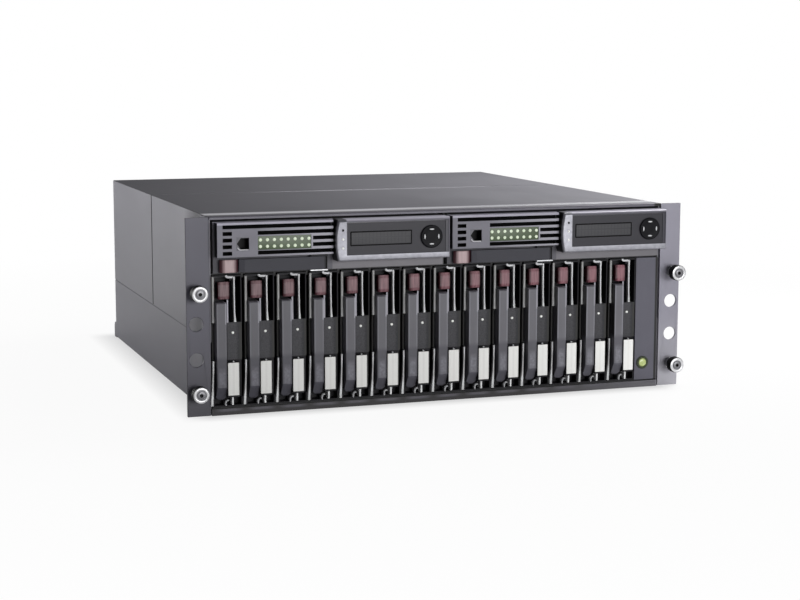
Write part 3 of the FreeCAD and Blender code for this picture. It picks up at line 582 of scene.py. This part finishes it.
def cover_tones(place, wear):
    """The covers' grey, with a dark line at their split on the sides. Painted shade darkens the sides towards the
    seam and the front, the front of the sides where the ears shadow them, the lid to the left and rear, and the
    front edge's right end; painted highlights are a pale band over the crease and a pale streak on the lid by the
    split.
    """
    across, depth, height = place.axis(0), place.axis(1), place.axis(2)
    top = height.above(SHELL_TOP - 0.3, 0.1)
    hem = (1 - depth.above(0.6, 0.6)) * height.above(SHELL_TOP - 3.4, 0.2)
    # Painted highlight: a pale band over the crease, fading towards the right.
    crease = depth.between(CREASE - 9.0, CREASE + 8.0, 4.0) * top
    # Painted highlight: a pale streak on the lid in front of the covers' split.
    streak = depth.between(COVER_SPLIT - 7.0, COVER_SPLIT + 3.0, 2.0) * top
    streak = streak * across.between(-90.0, 120.0, 50.0) * 0.6
    joint = depth.between(COVER_SPLIT - 2.0, COVER_SPLIT + 2.0, 0.2) * (1 - top)
    # Painted shadow of the ears on the front of the sides.
    shade = (1 - depth.above(70.0, 24.0)) * (1 - top) * (1 - hem)
    # Painted shade: the front edge's right end is black, for the gap to the ear.
    notch = across.above(EDGE_NOTCH)
    # The colour of the crease's painted highlight: bright on the left, grey on the right.
    rub_and_highlight = across.above(60.0, 130.0).mix(tint(250, 249, 255), tint(116, 115, 121))
    lower = wear.mix(tint(114, 113, 119), tint(128, 127, 133))
    upper = wear.mix(tint(147, 146, 153), tint(163, 162, 169))
    # Painted shade: the sides darken towards the seam, and towards the front.
    sides = height.above((SEAM + SHELL_TOP) / 2, (SHELL_TOP - SEAM) / 2).mix(lower, upper)
    sides = ((1 - depth.above(230.0, 190.0)) * 0.14).mix(sides, tint(60, 59, 64))
    near = wear.mix(tint(106, 105, 112), tint(120, 119, 126))
    far = wear.mix(tint(144, 143, 150), tint(161, 160, 167))
    # Painted light: the lid is paler to the right, and painted shade darkens it to the rear.
    lid = across.above(-60.0, 180.0).mix(near, far)
    lid = (depth.above(260.0, 180.0) * 0.2).mix(lid, tint(40, 39, 43))
    plain = top.mix(sides, streak.mix(lid, tint(214, 213, 220)))
    plain = shade.mix(joint.mix(plain, tint(48, 48, 52)), tint(58, 57, 66))
    return crease.mix(hem.mix(plain, notch.mix(tint(98, 96, 106), tint(8, 8, 9))), rub_and_highlight)


def cover_crease(place):
    """The front cover's height in millimetres: it falls by 6.5 towards its front edge, over the crease."""
    return place.axis(1).above(CREASE, 8.0) * 6.5


def ear_tones(place, wear):
    """The ears' grey: painted shade darkens the left one to its foot, and painted light makes the right one paler,
    most of all at its foot.
    """
    base = wear.mix(tint(76, 75, 85), tint(88, 87, 97))
    # Painted shade on the left ear's foot, and painted light on the right ear, strongest at its foot.
    foot = 1 - place.axis(2).above(40.0, 34.0)
    left = (foot * 0.8).mix(base, tint(68, 67, 73))
    return place.axis(0).above(0.0).mix(left, foot.mix(tint(144, 142, 154), tint(170, 169, 176)))


def panel_finish():
    """The status panel's grey plastic, with a black band of painted shade along its right edge for the gap to the
    ear.
    """
    def paint(place):
        cloud = cloudy(place)
        # Painted shade: a black band along the right edge, for the gap to the ear.
        joint = place.axis(0).above(PANEL_EDGE, 0.1)
        return {
            "Base Color": joint.mix(cloud.mix(tint(84, 83, 95), tint(98, 97, 109)), tint(5, 5, 6)),
            "Roughness": 0.46 + cloud * 0.12,
            "Normal": spark(place),
        }
    return finish("panel_grey", paint, {})


SHELL_PAINT = sheet_paint("shell_grey", shell_tones)
COVER_PAINT = sheet_paint("cover_grey", cover_tones, cover_crease)
EAR_PAINT = sheet_paint("ear_grey", ear_tones)
BEZEL_BLACK = carrier_finish()
CONTROLLER_GREY = controller_finish()
LEVER_GREY = lever_finish()
ARM_GREY = arm_finish()
LATCH_MAUVE = latch_finish()
CATCH_MAUVE = catch_finish()
PANEL_GREY = panel_finish()
GUIDE_BLACK = moulded("guide_black", tint(20, 20, 22), tint(30, 30, 33), 0.55)
DARK_PLASTIC = moulded("dark_plastic", tint(5, 5, 6), tint(12, 12, 13), 0.5, shine=0.2)
BEZEL_GREY = moulded("bezel_grey", tint(84, 83, 92), tint(98, 97, 106), 0.4)
RIM_DARK = moulded("rim_dark", tint(8, 8, 10), tint(16, 16, 18), 0.5, shine=0.1)
PAD_BLACK = moulded("pad_black", tint(8, 8, 12), tint(16, 16, 22), 0.5, shine=0.15)
POD_DARK = moulded("pod_face_dark", tint(45, 44, 51), tint(55, 54, 61), 0.42, 0.02, 0.3)
POD_SILVER = pod_finish()
STRIP_BRIGHT = strip_finish()
STRIP_LAVENDER = brushed("strip_lavender", tint(148, 147, 156), tint(166, 165, 174), 0.34, UPRIGHT, 0.2)
SCREW_NICKEL = brushed("screw_nickel", tint(214, 214, 216), tint(236, 236, 238), 0.3, ENDWAYS, 0.45)
SCREW_SHADE = brushed("screw_groove", tint(116, 116, 120), tint(140, 140, 144), 0.35, ENDWAYS, 0.4)
MODULE_ZINC = rear_finish()
BOARD_GREEN = board_finish()
LABEL_PAPER = label_finish()
DISPLAY_GLASS = display_finish()
PALE_MARK = moulded("pale_mark", tint(206, 207, 210), tint(230, 231, 234), 0.5)
LAMP_GREEN = glow("lamp_green", tint(232, 238, 222), tint(190, 208, 172), 0.25)
LAMP_WINDOW_GREEN = moulded("lamp_window_green", tint(72, 87, 62), tint(90, 105, 78), 0.3, shine=0.3)
LAMP_WHITE = glow("lamp_white", tint(244, 244, 240), tint(216, 218, 212), 0.25)
STATUS_GLOW = glow("status_glow", tint(208, 220, 150), tint(164, 182, 104), 0.12)
STATUS_RING = moulded("status_ring", tint(36, 46, 22), tint(54, 64, 34), 0.35)


# Surfaces

class Form:
    """Gathers the surfaces of one piece: points, faces, and a finish number for each face."""

    def __init__(self):
        self.points, self.faces, self.marks, self.count = [], [], [], 0

    def grid(self, points, mark=0, ring=False, caps=True):
        """Adds a grid of points [i, j] as quads, joined round along j, with its end rows joined, closed or open."""
        rows, columns = points.shape[:2]
        marks = np.broadcast_to(mark, rows)
        number = np.arange(rows * columns).reshape(rows, columns) + self.count
        up = np.roll(number, -1, 0) if ring else number[1:]
        low = number if ring else number[:-1]
        quads = np.stack([low, np.roll(low, -1, 1), np.roll(up, -1, 1), up], -1)
        self.faces += quads.reshape(-1, 4).tolist()
        self.marks += np.repeat(marks[: len(quads)], columns).tolist()
        if caps and not ring:
            self.faces += [number[0, ::-1].tolist(), number[-1].tolist()]
            self.marks += [int(marks[0]), int(marks[-1])]
        self.points.append(points.reshape(-1, 3))
        self.count += rows * columns
        return self

    def piece(self, name, body, finishes, slot, stands_for=(), smooth=35.0):
        """Makes the object in metres, merges doubled points, turns faces outwards, and puts it on its body."""
        mesh = bpy.data.meshes.new(name)
        mesh.from_pydata((np.concatenate(self.points) * MM).tolist(), [], self.faces)
        mesh.polygons.foreach_set("material_index", self.marks)
        for material in finishes:
            mesh.materials.append(material)
        work = bmesh.new()
        work.from_mesh(mesh)
        bmesh.ops.remove_doubles(work, verts=work.verts, dist=1e-7)
        bmesh.ops.recalc_face_normals(work, faces=work.faces)
        work.to_mesh(mesh)
        work.free()
        mesh.shade_smooth()
        mesh.set_sharp_from_angle(angle=math.radians(smooth))
        made = bpy.data.objects.new(name, mesh)
        bpy.context.scene.collection.objects.link(made)
        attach(made, body)
        if stands_for:
            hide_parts(*stands_for)


def rounded_outline(width, height, corner, steps=6):
    """A rectangle with round corners: each corner's centre plus its radius times (cos, sin) of a quarter turn."""
    turn = np.linspace(0, math.pi / 2, steps)
    angle = np.concatenate([turn + quarter * math.pi / 2 for quarter in range(4)])
    sign = np.repeat([[1, 1], [-1, 1], [-1, -1], [1, -1]], steps, axis=0)
    reach = np.array([width / 2 - corner, height / 2 - corner])
    return sign * reach + corner * np.stack([np.cos(angle), np.sin(angle)], 1)


def upright(outline, depth, centre=(0.0, 0.0)):
    """An outline (x, z) set across the front-to-back axis at a depth."""
    place = outline + np.asarray(centre)
    return np.stack([place[:, 0], np.broadcast_to(depth, len(place)), place[:, 1]], 1)


def span_plate(x, z, back, face, corner, roll, steps=5):
    """A front plate: the outline shrinks by roll times 1 - cos a as it comes forward by roll times sin a."""
    a = np.linspace(0, math.pi / 2, steps)
    inset = np.concatenate([[0.0], roll * (1 - np.cos(a))])
    depth = np.concatenate([[back], face + roll * (1 - np.sin(a))])
    centre, width, height = ((x[0] + x[1]) / 2, (z[0] + z[1]) / 2), x[1] - x[0], z[1] - z[0]
    rows = []
    for shrink, y in zip(inset, depth):
        outline = rounded_outline(width - 2 * shrink, height - 2 * shrink, max(corner - shrink, corner / 4))
        rows.append(upright(outline, y, centre))
    return np.array(rows)


def rim(x, z, corner, breadth, face, rise, steps=10):
    """A raised frame: an oval section, breadth by rise, carried round a rounded rectangle."""
    centre, width, height = ((x[0] + x[1]) / 2, (z[0] + z[1]) / 2), x[1] - x[0], z[1] - z[0]
    rows = []
    for turn in np.linspace(0, 2 * math.pi, steps, endpoint=False):
        shrink = breadth / 2 * (1 - math.cos(turn))
        outline = rounded_outline(width - 2 * shrink, height - 2 * shrink, max(corner - shrink, 0.1))
        rows.append(upright(outline, face - rise * math.sin(turn), centre))
    return np.array(rows)


def turned(centre, profile, sides, swell=0.0, lobes=0):
    """A (radius, depth) profile turned about a front-to-back axis, rippled by swell times cos(lobes * angle)."""
    angle = np.linspace(0, 2 * math.pi, sides, endpoint=False)
    radius = profile[:, :1] * (1 + np.asarray(swell).reshape(-1, 1) * np.cos(lobes * angle))
    depth = np.broadcast_to(profile[:, 1:], radius.shape)
    return np.stack([centre[0] + radius * np.cos(angle), depth, centre[1] + radius * np.sin(angle)], -1)


def dome(centre, radius, back, face, rise, sides=18):
    """A round lens: a short collar, then radius times cos a by rise times sin a."""
    bow = np.linspace(0, math.pi / 2, 6)
    cap = np.stack([radius * np.cos(bow), face - rise * np.sin(bow)], 1)
    return turned(centre, np.vstack([[(radius, back)], cap]), sides)


def blade(shape, back, face, sides=16):
    """An upright strip from rows of (x, z, width): half width times |cos|^0.4 by half depth times |sin|^0.4."""
    x, z, width = np.array(shape, float).T
    back, face = np.broadcast_to(back, len(x))[:, None], np.broadcast_to(face, len(x))[:, None]
    angle = np.linspace(0, 2 * math.pi, sides, endpoint=False)
    c = np.sign(np.cos(angle)) * np.abs(np.cos(angle)) ** 0.4
    s = np.sign(np.sin(angle)) * np.abs(np.sin(angle)) ** 0.4
    across = x[:, None] + np.outer(width / 2, c)
    depth = np.broadcast_to((back + face) / 2 + (back - face) / 2 * s, across.shape)
    height = np.broadcast_to(z[:, None], across.shape)
    return np.stack([across, depth, height], -1)


def wire(path, half, depth, thick, sides=12):
    """A strip bent along a path of (x, z): an oval section across the path's normal and the front-to-back axis."""
    path = np.asarray(path, float)
    run = np.gradient(path, axis=0)
    run /= np.linalg.norm(run, axis=1)[:, None]
    normal = np.stack([-run[:, 1], run[:, 0]], 1)
    angle = np.linspace(0, 2 * math.pi, sides, endpoint=False)
    offset = half * np.cos(angle)
    x = path[:, :1] + normal[:, :1] * offset
    z = path[:, 1:] + normal[:, 1:] * offset
    y = np.broadcast_to(depth + thick * np.sin(angle), x.shape)
    return np.stack([x, y, z], -1)


# Carried-over nodes

def dress(node, cover, bevel=0.0):
    """Gives a CAD node its finish, and soft edges where a bevel in millimetres is given."""
    thing = NODES[node]
    thing.data.materials.clear()
    thing.data.materials.append(cover)
    if bevel:
        weld = thing.modifiers.new("weld", "WELD")
        weld.merge_threshold = 1e-5
        soft = thing.modifiers.new("soft_edges", "BEVEL")
        soft.width = bevel * MM
        soft.segments = 2
        soft.limit_method = "ANGLE"
        soft.angle_limit = math.radians(40)


dress("chassis_tub", SHELL_PAINT)
dress("top_covers", COVER_PAINT)
dress("rack_ears", EAR_PAINT, 0.35)
dress("drive_guides", GUIDE_BLACK)
dress("backplane", BOARD_GREEN)
dress("status_panel", PANEL_GREY, 0.4)
dress("io_modules", MODULE_ZINC)
for number in DRIVES:
    dress("drive_carrier_" + number, BEZEL_BLACK, 0.2)
    dress("drive_lever_" + number, LEVER_GREY, 0.5)
    dress("drive_latch_" + number, LATCH_MAUVE, 0.5)
for number in CONTROLLERS:
    dress("controller_" + number, CONTROLLER_GREY, 0.15)
    dress("controller_lever_" + number, ARM_GREY, 0.4)
    dress("controller_latch_" + number, CATCH_MAUVE, 0.5)
for number in SUPPLIES:
    dress("power_supply_" + number, MODULE_ZINC)


# Thumbscrews

def thumbscrew(x, z):
    """A captive screw turned from its profile: shank, neck, knurled head, ring, groove, boss and recess. Painted
    shade makes the head's back, knurled side and recess black, and the groove and boss darker grey.
    """
    face, back = FRONT - SCREW_FACE, FRONT - SCREW_BACK
    profile = np.array([
        (0, 10.0), (2.6, 10.0), (3.0, 9.4), (3.0, 0.0),
        (4.5, 0.0), (4.5, back + 0.6),
        (5.4, back), (6.9, back), (7.4, back - 0.6), (7.4, face + 1.2),
        (7.1, face + 0.4), (6.5, face), (5.0, face), (4.6, face + 0.2), (4.5, face + 1.2),
        (3.5, face + 1.2), (3.4, face + 0.2), (3.0, face + 0.05), (1.7, face + 0.05),
        (1.6, face + 0.3), (1.5, face + 2.2), (0, face + 2.4),
    ])
    swell = np.zeros(len(profile))
    swell[8:10] = KNURL
    # Finish by row: painted shade gives the shank, neck, groove and boss the darker grey, and the head's back,
    # knurled side and recess the black; the ring is nickel.
    marks = np.array([1] * 6 + [2] * 4 + [0] * 4 + [1] * 5 + [2] * 3)
    return Form().grid(turned((x, z), profile, 3 * KNURL_LOBES, swell, KNURL_LOBES), marks, caps=False)


for side, end in ((-1, "left"), (1, "right")):
    for height, level in zip(SCREW_HEIGHTS, ("low", "high")):
        form = thumbscrew(side * SCREW_REACH, height)
        finishes = [SCREW_NICKEL, SCREW_SHADE, DARK_PLASTIC]
        form.piece("thumbscrew_" + end + "_" + level, "enclosure", finishes, "screw_steel", ["thumbscrews"])


# Drive fronts

def drive_trim(left):
    """One drive's bright strips and spring fingers, its lever's side strip, blank label, lamp, rivet and clips."""
    form = Form()
    shift = (left, BAY_LOW, 0.0)
    top = BAY_TOP - BAY_LOW
    upper = [
        (0.9, BLOCK_TOP + 0.2, 2.6), (0.9, BLOCK_TOP + 1.6, 2.6), (0.8, BLOCK_TOP + 5, 2.3),
        (0.75, 95, 2.3), (0.75, top - 5, 2.4), (0.75, top - 1.4, 2.5),
    ]
    lower = [
        (-1.5, 1.7, 2.7), (-1.45, 5, 2.6), (-1.0, 12, 2.1),
        (-0.3, 24, 1.7), (0.4, 36, 1.6), (0.5, BLOCK_LOW - 0.4, 1.7),
    ]
    bulge = FRONT - np.array([2.0, 2.2, 2.0, 1.4, 0.4, 0.2])
    window = [
        (20.6, BLOCK_TOP + 0.2, 2.8), (20.5, BLOCK_TOP + 2.5, 2.5), (20.2, BLOCK_TOP + 9, 1.7),
        (20.0, 100, 1.5), (20.0, top - 1.6, 1.7),
    ]
    post = [(17.7, 0.6, 2.2), (17.8, 2.4, 2.1), (17.9, LABEL[2] - 0.3, 2.0)]
    beside = [
        (13.6, BLOCK_TOP, 1.7), (13.6, BLOCK_TOP + 4, 1.6),
        (13.6, LATCH[2] - 3, 1.5), (13.6, LATCH[2] - 0.3, 1.5),
    ]
    form.grid(blade(np.add(upper, shift), FRONT + 3, FRONT - 0.2))
    form.grid(blade(np.add(lower, shift), FRONT + 3, bulge))
    form.grid(blade(np.add(window, shift), FRONT + 12, FRONT + 0.2))
    form.grid(blade(np.add(post, shift), FRONT + 9.9, FRONT + 0.3))
    form.grid(blade(np.add(beside, shift), FRONT + 0.2, FRONT - 0.45), 3)
    clip = [(11.3, 1.1), (11.2, 2.6), (11.3, 3.8), (11.9, 5.1), (12.9, 5.8), (14.0, 5.6)]
    form.grid(wire(np.array(clip) + shift[:2], 0.75, FRONT + 1.4, 2.0), 4)
    tab = [(12.6, 117.6), (12.7, 116.7), (13.3, 116.1), (14.7, 115.8), (18.6, 115.8)]
    form.grid(wire(np.array(tab) + shift[:2], 1.1, FRONT + 0.6, 1.2), 4)
    label_x, label_z = np.array(LABEL[:2]) + left, np.array(LABEL[2:]) + BAY_LOW
    form.grid(span_plate(label_x, label_z, FRONT - LABEL_PROUD + 0.2, FRONT - LABEL_PROUD - 0.2, 0.5, 0.12), 1)
    form.grid(dome(np.add(LAMP_PLACE, shift[:2]), 1.25, FRONT + 0.7, FRONT + 0.3, 0.7), 2)
    form.grid(dome(np.add(RIVET, shift[:2]), 0.7, FRONT - 5.0, FRONT - 6.2, 0.5), 4)
    return form


for i, number in enumerate(DRIVES):
    finishes = [STRIP_BRIGHT, LABEL_PAPER, LAMP_WHITE, STRIP_LAVENDER, PALE_MARK]
    drive_trim(BAY_LEFT + PITCH * i).piece("drive_trim_" + number, "drive_" + number, finishes, "carrier_metal")


# Controllers

def pod_outline(x, z, bulge, steps=14):
    """An outline between x and z limits: straight top, right and bottom, left end bowed out as a parabola."""
    t, edge = np.linspace(-1, 1, steps), np.ones(steps)
    across, height = (x[0] + x[1]) / 2 + (x[1] - x[0]) / 2 * t, (z[0] + z[1]) / 2 + (z[1] - z[0]) / 2 * t
    left = np.stack([x[0] - bulge * (1 - t * t), height[::-1]], 1)
    bottom = np.stack([across, z[0] * edge], 1)
    right = np.stack([x[1] * edge, height], 1)
    top = np.stack([across[::-1], z[1] * edge], 1)
    return np.concatenate([left, bottom, right, top])


def pod_face_span(right):
    """The x and z limits of the dark face on the pod."""
    return (right - POD_WIDTH + POD_CAP, right - POD_END), (POD_TOP - POD_HEIGHT + POD_SILL, POD_TOP - POD_RIM)


def pod_skin(right):
    """The pod's skin: outlines drawn in round an edge that is rolled most along the top, then the face."""
    def outline(turn):
        draw = 1 - math.cos(turn)
        x = (right - POD_WIDTH - 0.1 + 1.2 * draw, right + 0.1 - 1.2 * draw)
        return pod_outline(x, (POD_TOP - POD_HEIGHT - 0.1 + 1.6 * draw, POD_TOP + 0.1 - POD_ROLL * draw), POD_BULGE)
    rows = [upright(outline(0.0), FASCIA + 0.05)]
    for turn in np.linspace(0, math.pi / 2, 8):
        rows.append(upright(outline(turn), POD_FACE - 0.1 + POD_ROLL * (1 - math.sin(turn))))
    (x0, x1), (z0, z1) = pod_face_span(right)
    rows.append(upright(pod_outline((x0, x1), (z0, z1), 0.0), POD_FACE - 0.1))
    rows.append(upright(pod_outline((x0 + 0.2, x1 - 0.2), (z0 + 0.2, z1 - 0.2), 0.0), POD_FACE + 0.5))
    return Form().grid(np.array(rows), np.array([0] * (len(rows) - 1) + [1]))


def port_frame(left):
    """The console port: a square frame round a hole, square to the right and cut to a blunt point on the left, with
    a thin lip along the hole's lower left edge painted pale as a painted highlight.
    """
    x0, x1, z0, z1 = PORT
    centre = (left + (x0 + x1) / 2, (z0 + z1) / 2)
    angle = np.linspace(0, 2 * math.pi, 64, endpoint=False)
    c, s = np.cos(angle), np.sin(angle)
    square = np.stack([c, s], 1) / np.maximum(np.abs(c), np.abs(s))[:, None]
    outer = square * ((x1 - x0) / 2 - 0.03, (z1 - z0) / 2 - 0.03)
    reach = np.maximum.reduce([np.abs(s), c, 0.67 * np.abs(s) - 0.93 * c])
    hole = np.stack([np.where(c > 0, 5.6, 4.9) * c, 5.0 * s], 1) / reach[:, None]
    rows = [upright(outer, BEZEL_FACE + 12.0, centre), upright(outer, BEZEL_FACE + 0.15, centre)]
    rows += [upright(hole * 1.01, BEZEL_FACE + 0.1, centre), upright(hole, BEZEL_FACE + 0.5, centre)]
    rows.append(upright(hole * 0.98, BEZEL_FACE + 11.0, centre))
    form = Form().grid(np.array(rows), np.array([0, 0, 0, 2, 2]))
    # Painted highlight: a thin pale lip along the hole's lower left edge.
    lip = np.array([(-4.5, -3.4), (-3.6, -4.7), (-2.6, -5.35), (-1.0, -5.4), (2.0, -5.4), (5.0, -5.4)])
    return form.grid(wire(lip + centre, 0.4, BEZEL_FACE + 0.1, 0.25), 1)


def lamp_rows(left):
    """Two rows of eight round lenses on the lamp window."""
    form = Form()
    for column in LAMP_COLUMNS:
        for height in LAMP_HEIGHTS:
            form.grid(dome((left + column, height), 1.5, BEZEL_FACE + 0.9, BEZEL_FACE + 0.5, 0.5))
    return form


def pad_marks(centre, face):
    """Four pale marks round the pad's middle, one for each way it is pressed."""
    form = Form()
    wedge = np.array([(1.9, 0.0), (1.1, 1.7), (-0.4, 2.1), (-0.9, 0.0), (-0.4, -2.1), (1.1, -1.7)])
    for turn in np.arange(4) * math.pi / 2:
        c, s = math.cos(turn), math.sin(turn)
        outline = (wedge + (PAD_MARK_REACH, 0.0)) @ np.array([(c, s), (-s, c)])
        form.grid(np.array([upright(outline, face + 0.4, centre), upright(outline, face - 0.06, centre)]))
    return form


def pad_form(node):
    """The direction pad turned from its profile: a raised round lip and a shallow dish with a low middle."""
    low, high = box(node)
    centre = ((low[0] + high[0]) / 2, (low[2] + high[2]) / 2)
    reach, face, back = (high[0] - low[0]) / 2, low[1], high[1] - 0.3
    profile = np.array([
        (0, back), (reach - 0.3, back), (reach, back - 0.3), (reach, face + 0.6), (reach - 0.4, face + 0.15),
        (reach - 1.1, face), (reach - 1.8, face + 0.1),
        (reach * 0.5, face + 0.45), (reach * 0.3, face + 0.35), (0, face + 0.2),
    ])
    return Form().grid(turned(centre, profile, 72), caps=False), centre, face


for k, number in enumerate(CONTROLLERS):
    body, slot = "controller_" + number, "controller_metal"
    left, right = HOUSING_LEFT + HOUSING_PITCH * k, POD_RIGHT + HOUSING_PITCH * k
    pod_skin(right).piece("display_pod_" + number, body, [POD_SILVER, POD_DARK], slot, smooth=50.0)
    face_x, face_z = pod_face_span(right)
    glass_x = (face_x[0] + DISPLAY[0], face_x[0] + DISPLAY[0] + DISPLAY[2])
    glass_z = (face_z[0] + DISPLAY[1], face_z[0] + DISPLAY[1] + DISPLAY[3])
    glass = Form().grid(span_plate(glass_x, glass_z, POD_FACE + 0.8, POD_FACE + 0.3, 0.6, 0.1))
    glass.grid(rim(glass_x, glass_z, 0.8, 1.3, POD_FACE + 0.4, 0.25), 1, ring=True)
    glass.piece("display_" + number, body, [DISPLAY_GLASS, RIM_DARK], slot)
    lamps = Form()
    for step in (-1, 0, 1):
        spot = (right - POD_WIDTH + POD_CAP / 2, (face_z[0] + face_z[1]) / 2 + step * POD_LAMP_PITCH)
        lamps.grid(dome(spot, 1.1, POD_FACE + 0.3, POD_FACE - 0.15, 0.5), int(step > 0))
    lamps.piece("pod_lamps_" + number, body, [LAMP_WHITE, ARM_GREY], slot)
    port_frame(left).piece("console_port_" + number, body, [BEZEL_GREY, PALE_MARK, DARK_PLASTIC], slot)
    window_x, window_z = np.array(LAMP_WINDOW[:2]) + left, LAMP_WINDOW[2:]
    window = Form().grid(span_plate(window_x, window_z, BEZEL_FACE + 1.0, BEZEL_FACE + 0.55, 0.4, 0.15))
    window.piece("lamp_window_" + number, body, [LAMP_WINDOW_GREEN], slot)
    lamp_rows(left).piece("lamp_rows_" + number, body, [LAMP_GREEN], slot)
    key = "direction_pad_" + number
    pad, centre, face = pad_form(key)
    pad.piece("pad_" + number, key, [PAD_BLACK], "pad_plastic", [key], 50.0)
    pad_marks(centre, face + 0.3).piece("pad_marks_" + number, key, [PALE_MARK], "pad_plastic")


# Status lamp

def status_lamp():
    """A domed lens in a dark round collar, both turned from their profiles."""
    left, _, low = box("status_panel")[0]
    centre = (left + STATUS_LAMP[0], low + STATUS_LAMP[1])
    face = FRONT - 0.8
    collar = np.array([
        (6.1, FRONT + 0.2), (6.1, face - 0.2), (5.7, face - 0.5),
        (4.4, face - 0.5), (4.0, face - 0.2), (STATUS_LENS, face + 0.3),
    ])
    form = Form().grid(turned(centre, collar, 40), 1)
    return form.grid(dome(centre, STATUS_LENS, face + 0.2, face - 0.1, 0.9, 40))


status_lamp().piece("status_lamp", "enclosure", [STATUS_GLOW, STATUS_RING], "panel_plastic")


# Floor, light and camera, in metres

FLOOR_REACH, FLOOR_MIDDLE = 14.0, (0.0, 0.22)

# The patch of painted shadow under the object, in millimetres: its half width, and how far it goes past front and
# rear
SHADE_WIDTH, SHADE_PAST = 236.0, 14.0

# Each lamp's name, place, the point it faces, its width and height, and its power
STUDIO_LAMPS = (
    ("front", (0.5, -2.3, 0.38), (0.0, 0.0, 0.1), (1.6, 0.8), 29.5),
    ("left", (-1.0, 0.95, 0.28), (-0.22, 0.34, 0.14), (0.4, 0.4), 5.1),
    ("right", (0.62, 0.3, 0.62), (0.18, 0.25, 0.17), (0.4, 0.5), 6.2),
)

# The photograph's viewpoint: azimuth, elevation and roll in degrees, then metres, then the lens in millimetres
VIEW_ANGLES = (-19.460, 8.102, 0.096)
VIEW_CENTRE, VIEW_DISTANCE, LENS = (-0.04338, -0.0025, 0.09573), 1.6062, 79.42


def floor():
    """A broad pale floor, lifted to white where the camera sees it, with the shadow kept near the object and a
    painted shadow darkening the patch under it.
    """
    mesh = bpy.data.meshes.new("floor")
    height = CAD_BOX[0].z - 0.5 * MM
    corners = np.array([(-1, -1), (1, -1), (1, 1), (-1, 1)]) * FLOOR_REACH
    mesh.from_pydata([(x, y, height) for x, y in corners], [], [(0, 1, 2, 3)])
    made = bpy.data.objects.new("floor", mesh)
    bpy.context.scene.collection.objects.link(made)
    material = bpy.data.materials.new("floor_pale")
    material.use_nodes = True
    tree = material.node_tree
    tree.nodes.clear()
    rays = tree.nodes.new("ShaderNodeLightPath")
    seen = Shade(tree, rays.outputs["Is Camera Ray"]).either(Shade(tree, rays.outputs["Is Transmission Ray"]))
    place = Shade(tree, tree.nodes.new("ShaderNodeTexCoord").outputs["Object"])
    away = place.node("VectorMath", {"operation": "DISTANCE"}, {0: place, 1: (*FLOOR_MIDDLE, height)}, 1)
    # Painted shadow: the floor is lifted less to white in the patch under the object.
    under = place.axis(0).between(-SHADE_WIDTH, SHADE_WIDTH, 14.0)
    under = under * place.axis(1).between(-SHADE_PAST, REAR + SHADE_PAST, 12.0)
    lift = 0.94 + away.above(0.7, 0.35) * 0.06 - under * 0.34
    matt = seen.node("BsdfDiffuse", {}, {"Color": (0.9, 0.9, 0.91, 1.0)})
    white = seen.node("Emission", {}, {"Color": (1.0, 1.0, 1.0, 1.0), "Strength": 1.0})
    blend = seen.node("MixShader", {}, {0: seen * lift, 1: matt, 2: white})
    out = tree.nodes.new("ShaderNodeOutputMaterial")
    tree.links.new(blend.socket, out.inputs["Surface"])
    mesh.materials.append(material)


def studio_sky():
    """White to the camera, and a plain soft grey as light, a little darker in reflections."""
    world = bpy.data.worlds.new("studio")
    bpy.context.scene.world = world
    world.use_nodes = True
    tree = world.node_tree
    tree.nodes.clear()
    rays = tree.nodes.new("ShaderNodeLightPath")
    seen = Shade(tree, rays.outputs["Is Camera Ray"]).either(Shade(tree, rays.outputs["Is Transmission Ray"]))
    glossy = Shade(tree, rays.outputs["Is Glossy Ray"])
    strength = (0.16 - glossy * 0.04) * (1 - seen) + seen
    sky = seen.node("Background", {}, {"Color": (1.0, 1.0, 1.0, 1.0), "Strength": strength})
    out = tree.nodes.new("ShaderNodeOutputWorld")
    tree.links.new(sky.socket, out.inputs["Surface"])


def softbox(name, place, aim, size, power):
    """A rectangular area lamp at a place, facing a point, not itself seen."""
    data = bpy.data.lights.new(name, "AREA")
    data.shape = "RECTANGLE"
    data.size, data.size_y = size
    data.energy = power
    lamp = bpy.data.objects.new(name, data)
    bpy.context.scene.collection.objects.link(lamp)
    lamp.location = place
    lamp.rotation_mode = "QUATERNION"
    lamp.rotation_quaternion = (Vector(aim) - Vector(place)).to_track_quat("-Z", "Y")
    lamp.visible_camera = False


def camera():
    """A long-lens camera that looks at the view's centre from its distance and angles."""
    data = bpy.data.cameras.new("camera")
    data.sensor_width = 36.0
    data.lens = LENS
    data.clip_start, data.clip_end = 0.05, 60.0
    made = bpy.data.objects.new("camera", data)
    bpy.context.scene.collection.objects.link(made)
    azimuth, elevation, roll = np.radians(VIEW_ANGLES)
    flat = math.cos(elevation)
    back = Vector((math.sin(azimuth) * flat, -math.cos(azimuth) * flat, math.sin(elevation)))
    turn = (-back).to_track_quat("-Z", "Y").to_matrix().to_4x4() @ Matrix.Rotation(roll, 4, "Z")
    made.matrix_world = Matrix.Translation(Vector(VIEW_CENTRE) + back * VIEW_DISTANCE) @ turn
    bpy.context.scene.camera = made


floor()
studio_sky()
for lamp in STUDIO_LAMPS:
    softbox(*lamp)
camera()
bpy.context.scene.view_settings.view_transform = "Standard"
